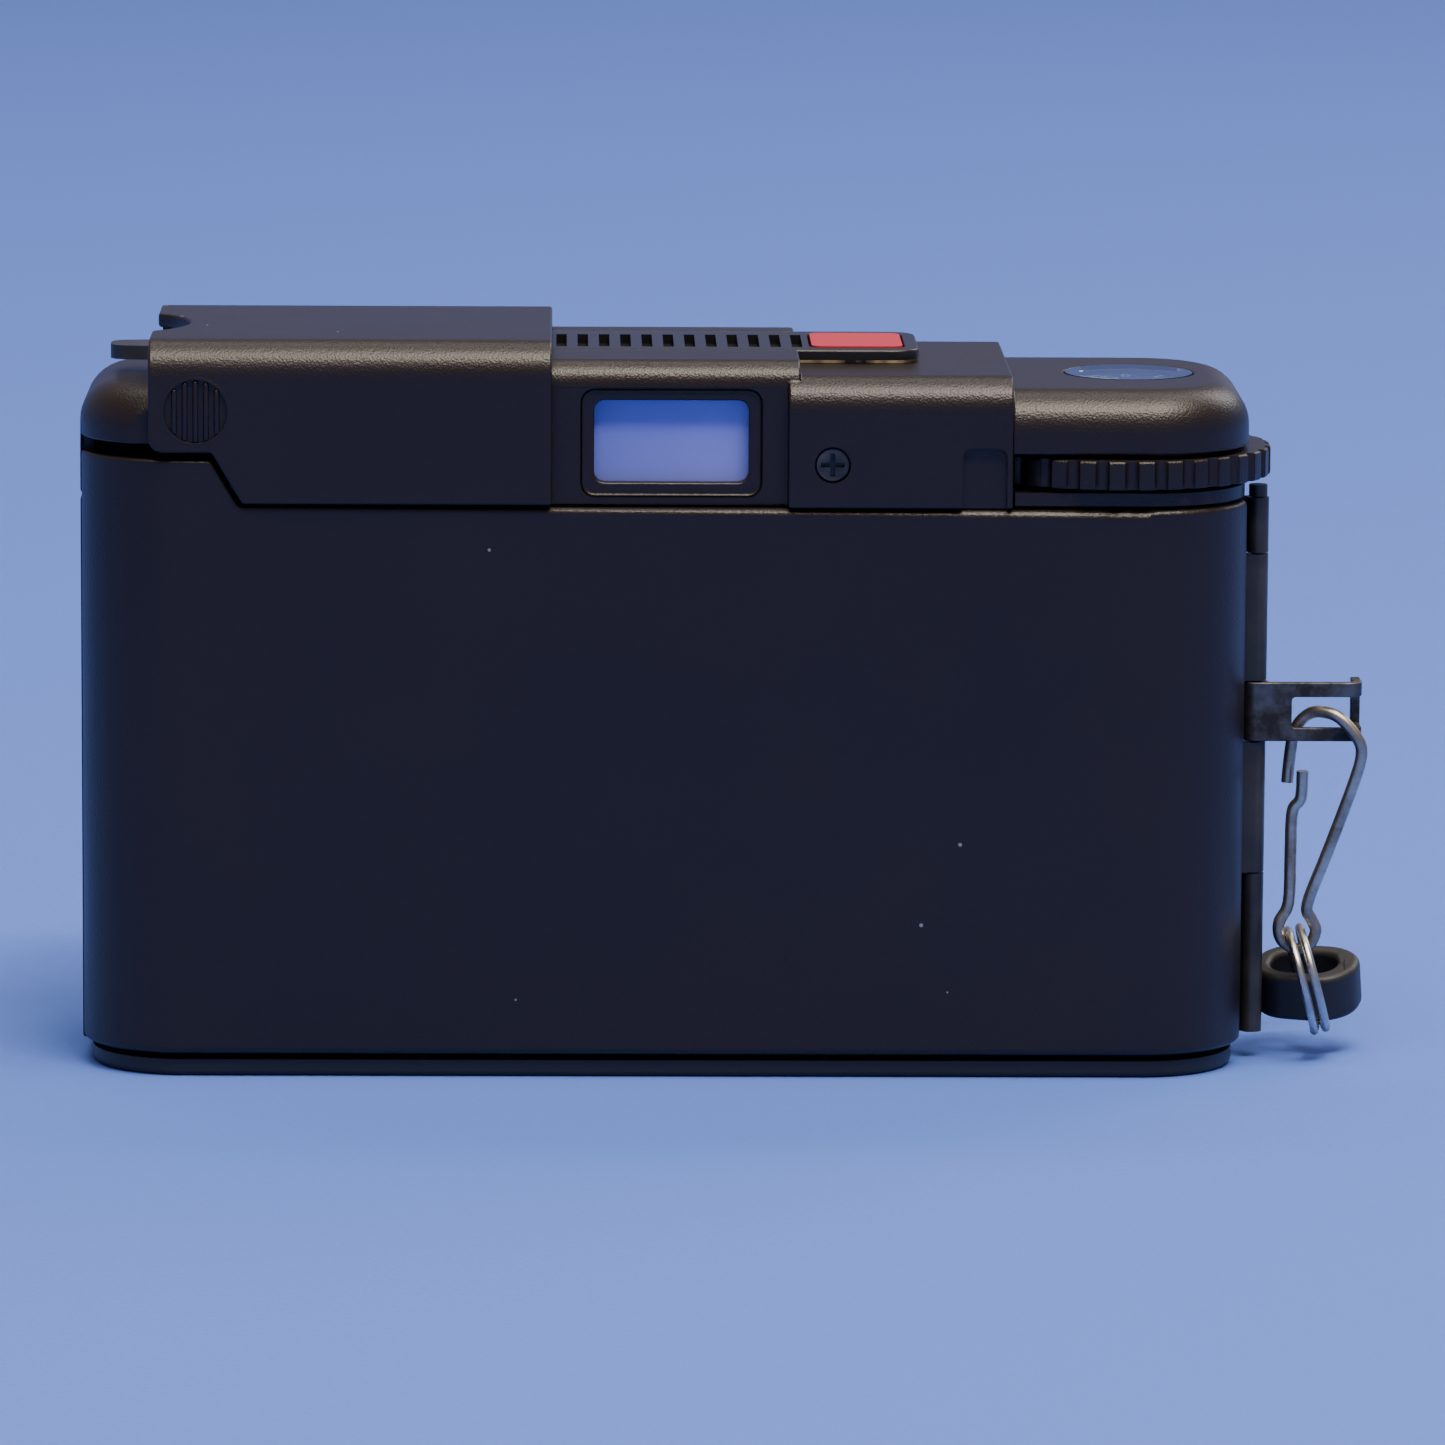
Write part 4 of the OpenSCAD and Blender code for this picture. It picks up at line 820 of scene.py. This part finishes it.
def bent_wire(name, points, radius):
    """A round wire through the points, made a mesh."""
    clear_selection()
    bpy.ops.curve.primitive_nurbs_path_add()
    obj = bpy.context.object
    curve = obj.data
    curve.splines.clear()
    line = curve.splines.new("NURBS")
    line.points.add(len(points) - 1)
    for p, at in zip(line.points, points):
        p.co = (at[0] * MM, at[1] * MM, at[2] * MM, 1)
    line.order_u, line.use_endpoint_u, line.resolution_u = 3, True, 5
    curve.bevel_depth, curve.bevel_resolution, curve.use_fill_caps = radius * MM, 4, True
    obj.location = (0, 0, 0)
    bpy.ops.object.convert(target="MESH")
    obj = bpy.context.object
    obj.name = name
    settle(obj)
    bpy.ops.object.shade_smooth_by_angle(angle=math.radians(40))
    return obj


# The hook's wire: down its open end, round the lug's window, along its back, round the ring and up again
HOOK_ROUTE = ((2.9, 1.1, -3.8), (3.1, 1.1, -1.5), (3.5, 1.1, 0.8), (4.6, 0.8, 2.2), (5.9, 0, 2.5),
              (7.2, -0.8, 2.1), (8.6, -1.2, 0.6), (9.1, -1.2, -1), (8.3, -1.1, -4), (6.4, -0.6, -9.5),
              (4.7, -0.3, -14.2), (5.1, 0, -15.6), (5.5, 0, -16.6), (5, 0, -17.8), (3.8, 0, -18.25),
              (2.5, 0, -17.4), (2.3, 0, -15.9), (3.1, 0, -14.2), (3.2, 0, -10), (3.3, 0, -6.2),
              (4, -0.2, -5), (4.1, -0.3, -2.6))


def smooth_line(points, steps):
    """A line through all the points, with the given number of steps from each point to the next."""
    last = len(points) - 1
    line = []
    for i in range(last):
        a, b, c, d = (points[max(0, min(last, i + k))] for k in (-1, 0, 1, 2))
        for k in range(steps):
            t = k / steps
            line.append(0.5 * (2 * b + (c - a) * t + (2 * a - 5 * b + 4 * c - d) * t * t
                               + (3 * b - a - 3 * c + d) * t ** 3))
    return line + [points[last]]


def make_hook():
    """Snap hook bent from one wire."""
    start = Vector((HINGE_X, LUG_Y + 0.4, LUG_Z0))
    hook = bent_wire("hook", smooth_line([start + Vector(p) for p in HOOK_ROUTE], 4), 0.52)
    return finish_piece(hook, "hook_wire", "hook", "aged_brass", "snap_hook")


def make_ring():
    """Split ring of two coils, with a short step from one to the other."""
    turn = Matrix.Rotation(math.radians(75), 3, "Y")
    steps, coils, start, step_part = 144, 2, 0.6, 0.12
    points = []
    for k in range(steps + 1):
        a = math.tau * coils * k / steps + start
        along_wire = (k / steps - 0.5) * 2
        height = COIL_RISE * max(-1, min(1, along_wire / step_part))
        points.append(RING_AT + turn @ Vector((RING_R * math.cos(a), RING_R * math.sin(a), height)))
    ring = bent_wire("ring", points, RING_WIRE)
    return finish_piece(ring, "ring_coils", "ring", "steel", "split_ring")


def make_strap():
    """End of the strap: a short rubber loop that leans on the ring."""
    loop = block("strap", -4.6, 4.6, -3.7, 3.7, -2.1, 2.1)
    bevel_where(loop, along("z"), 3.4, 12)
    hole = block("hole", -3.1, 2.7, -2.2, 2.2, -8, 8)
    bevel_where(hole, along("z"), 2.0, 10)
    combine(loop, hole)
    soften(loop, 0.55, 5)
    only(loop)
    loop.rotation_euler = (math.radians(14), 0, math.radians(-20))
    loop.location = (56.2 * MM, -0.6 * MM, 5.9 * MM)
    settle(loop)
    return finish_piece(loop, "strap_loop", "strap", "rubber_black", "strap_end")


# ---- frame counter ----

def make_counter():
    """Numbers round the frame counter's dial, and the line that they are read against."""
    made = []
    for k in range(9):
        a = math.radians(90 - k * 40)
        x, y = COUNTER_X + 4.1 * math.cos(a), COUNTER_Y + 4.1 * math.sin(a)
        clear_selection()
        bpy.ops.object.text_add(location=(x * MM, y * MM, (DIAL_Z + 0.02) * MM),
                                rotation=(0, 0, a - math.pi / 2))
        t = bpy.context.object
        t.data.body, t.data.size, t.data.extrude = str(k * 4), 1.9 * MM, 0.02 * MM
        t.data.align_x, t.data.align_y = "CENTER", "CENTER"
        bpy.ops.object.convert(target="MESH")
        made.append(settle(bpy.context.object))
    finish_piece(join_all(made), "dial_numbers", "counter", "dial_white")
    line = block("index", COUNTER_X - 5.1, COUNTER_X - 0.8, COUNTER_Y - 0.15, COUNTER_Y + 0.15,
                 DIAL_Z + 0.22, DIAL_Z + 0.3)
    soften(line, 0.02, 1)
    finish_piece(line, "index_line", "root", "dial_white")


for make in (make_back_door, make_base, make_top_cover, make_clamshell, make_grip, make_front, make_strip,
             make_wheel, make_lug, make_hook, make_ring, make_strap, make_counter):
    make()

dress(nodes["counter_dial"], slots["inner_black"])
finder_glass = clear_glass("finder_glass", (0.96, 0.97, 1.0), 0.01, 1.08)
for name in ("beam_splitter", "viewfinder_lens", "rangefinder_window"):
    dress(nodes[name], finder_glass)
dress(nodes["eyepiece_lens"], glass_with_painted_reflection("eyepiece_glass_painted_reflection"))
dress(nodes["counter_window"], clear_glass("counter_glass", (0.8, 0.84, 0.92), 0.02, 1.18))


# ---- floor and light ----

def make_stage():
    """Pale blue paper under the object and all round it."""
    clear_selection()
    bpy.ops.mesh.primitive_plane_add(size=6, location=(0, 0.4, 0))
    floor = bpy.context.object
    floor.name = "floor"
    m, t, s = start_material("pale_blue_paper", rough=0.85)
    at = on_object(t)
    fibre = noise(t, at, 1800.0, 4.0, 0.7)
    t.links.new(mix_color(t, fibre, (0.085, 0.168, 0.60), (0.11, 0.205, 0.68)), s.inputs["Base Color"])
    bump(t, s, fibre, 0.3, 0.0002)
    dress(floor, m)


def area(name, at, aim, size, power, color=(1, 1, 1)):
    """A soft rectangular lamp at a place, in metres, turned to what it aims at."""
    data = bpy.data.lights.new(name, "AREA")
    data.shape, data.size, data.size_y = "RECTANGLE", size[0], size[1]
    data.energy, data.color = power, color
    lamp = bpy.data.objects.new(name, data)
    bpy.context.scene.collection.objects.link(lamp)
    lamp.location = at
    lamp.rotation_mode = "QUATERNION"
    lamp.rotation_quaternion = (Vector(aim) - Vector(at)).to_track_quat("-Z", "Y")
    return lamp


make_stage()
area("top_light", (0.1, -0.25, 0.95), (0, 0, 0.03), (1.0, 0.5), 11.0, (0.97, 0.97, 0.9))
area("edge_light", (0.25, -0.55, 1.1), (0, 0, 0.05), (0.5, 0.1), 9.0, (0.97, 0.97, 0.9))
area("back_wash", (0, 0.7, 1.3), (0, 1.7, 0.1), (1.4, 0.7), 12.0, (0.95, 0.97, 1.0))
area("front_light", (0.9, 1.0, 0.9), (0, 0, 0.03), (0.7, 0.7), 6.0)

def make_room():
    """Soft light from all round: blue paper low down, a neutral ceiling above."""
    world = bpy.data.worlds.new("studio")
    world.use_nodes = True
    t = world.node_tree
    ray = t.nodes.new("ShaderNodeTexCoord").outputs["Generated"]
    tone = mix_color(t, ramp(t, axes_of(t, ray)["Z"], 0.12, 0.5), (0.2, 0.26, 0.6), (0.26, 0.215, 0.205))
    t.links.new(tone, t.nodes["Background"].inputs["Color"])
    bpy.context.scene.world = world


make_room()
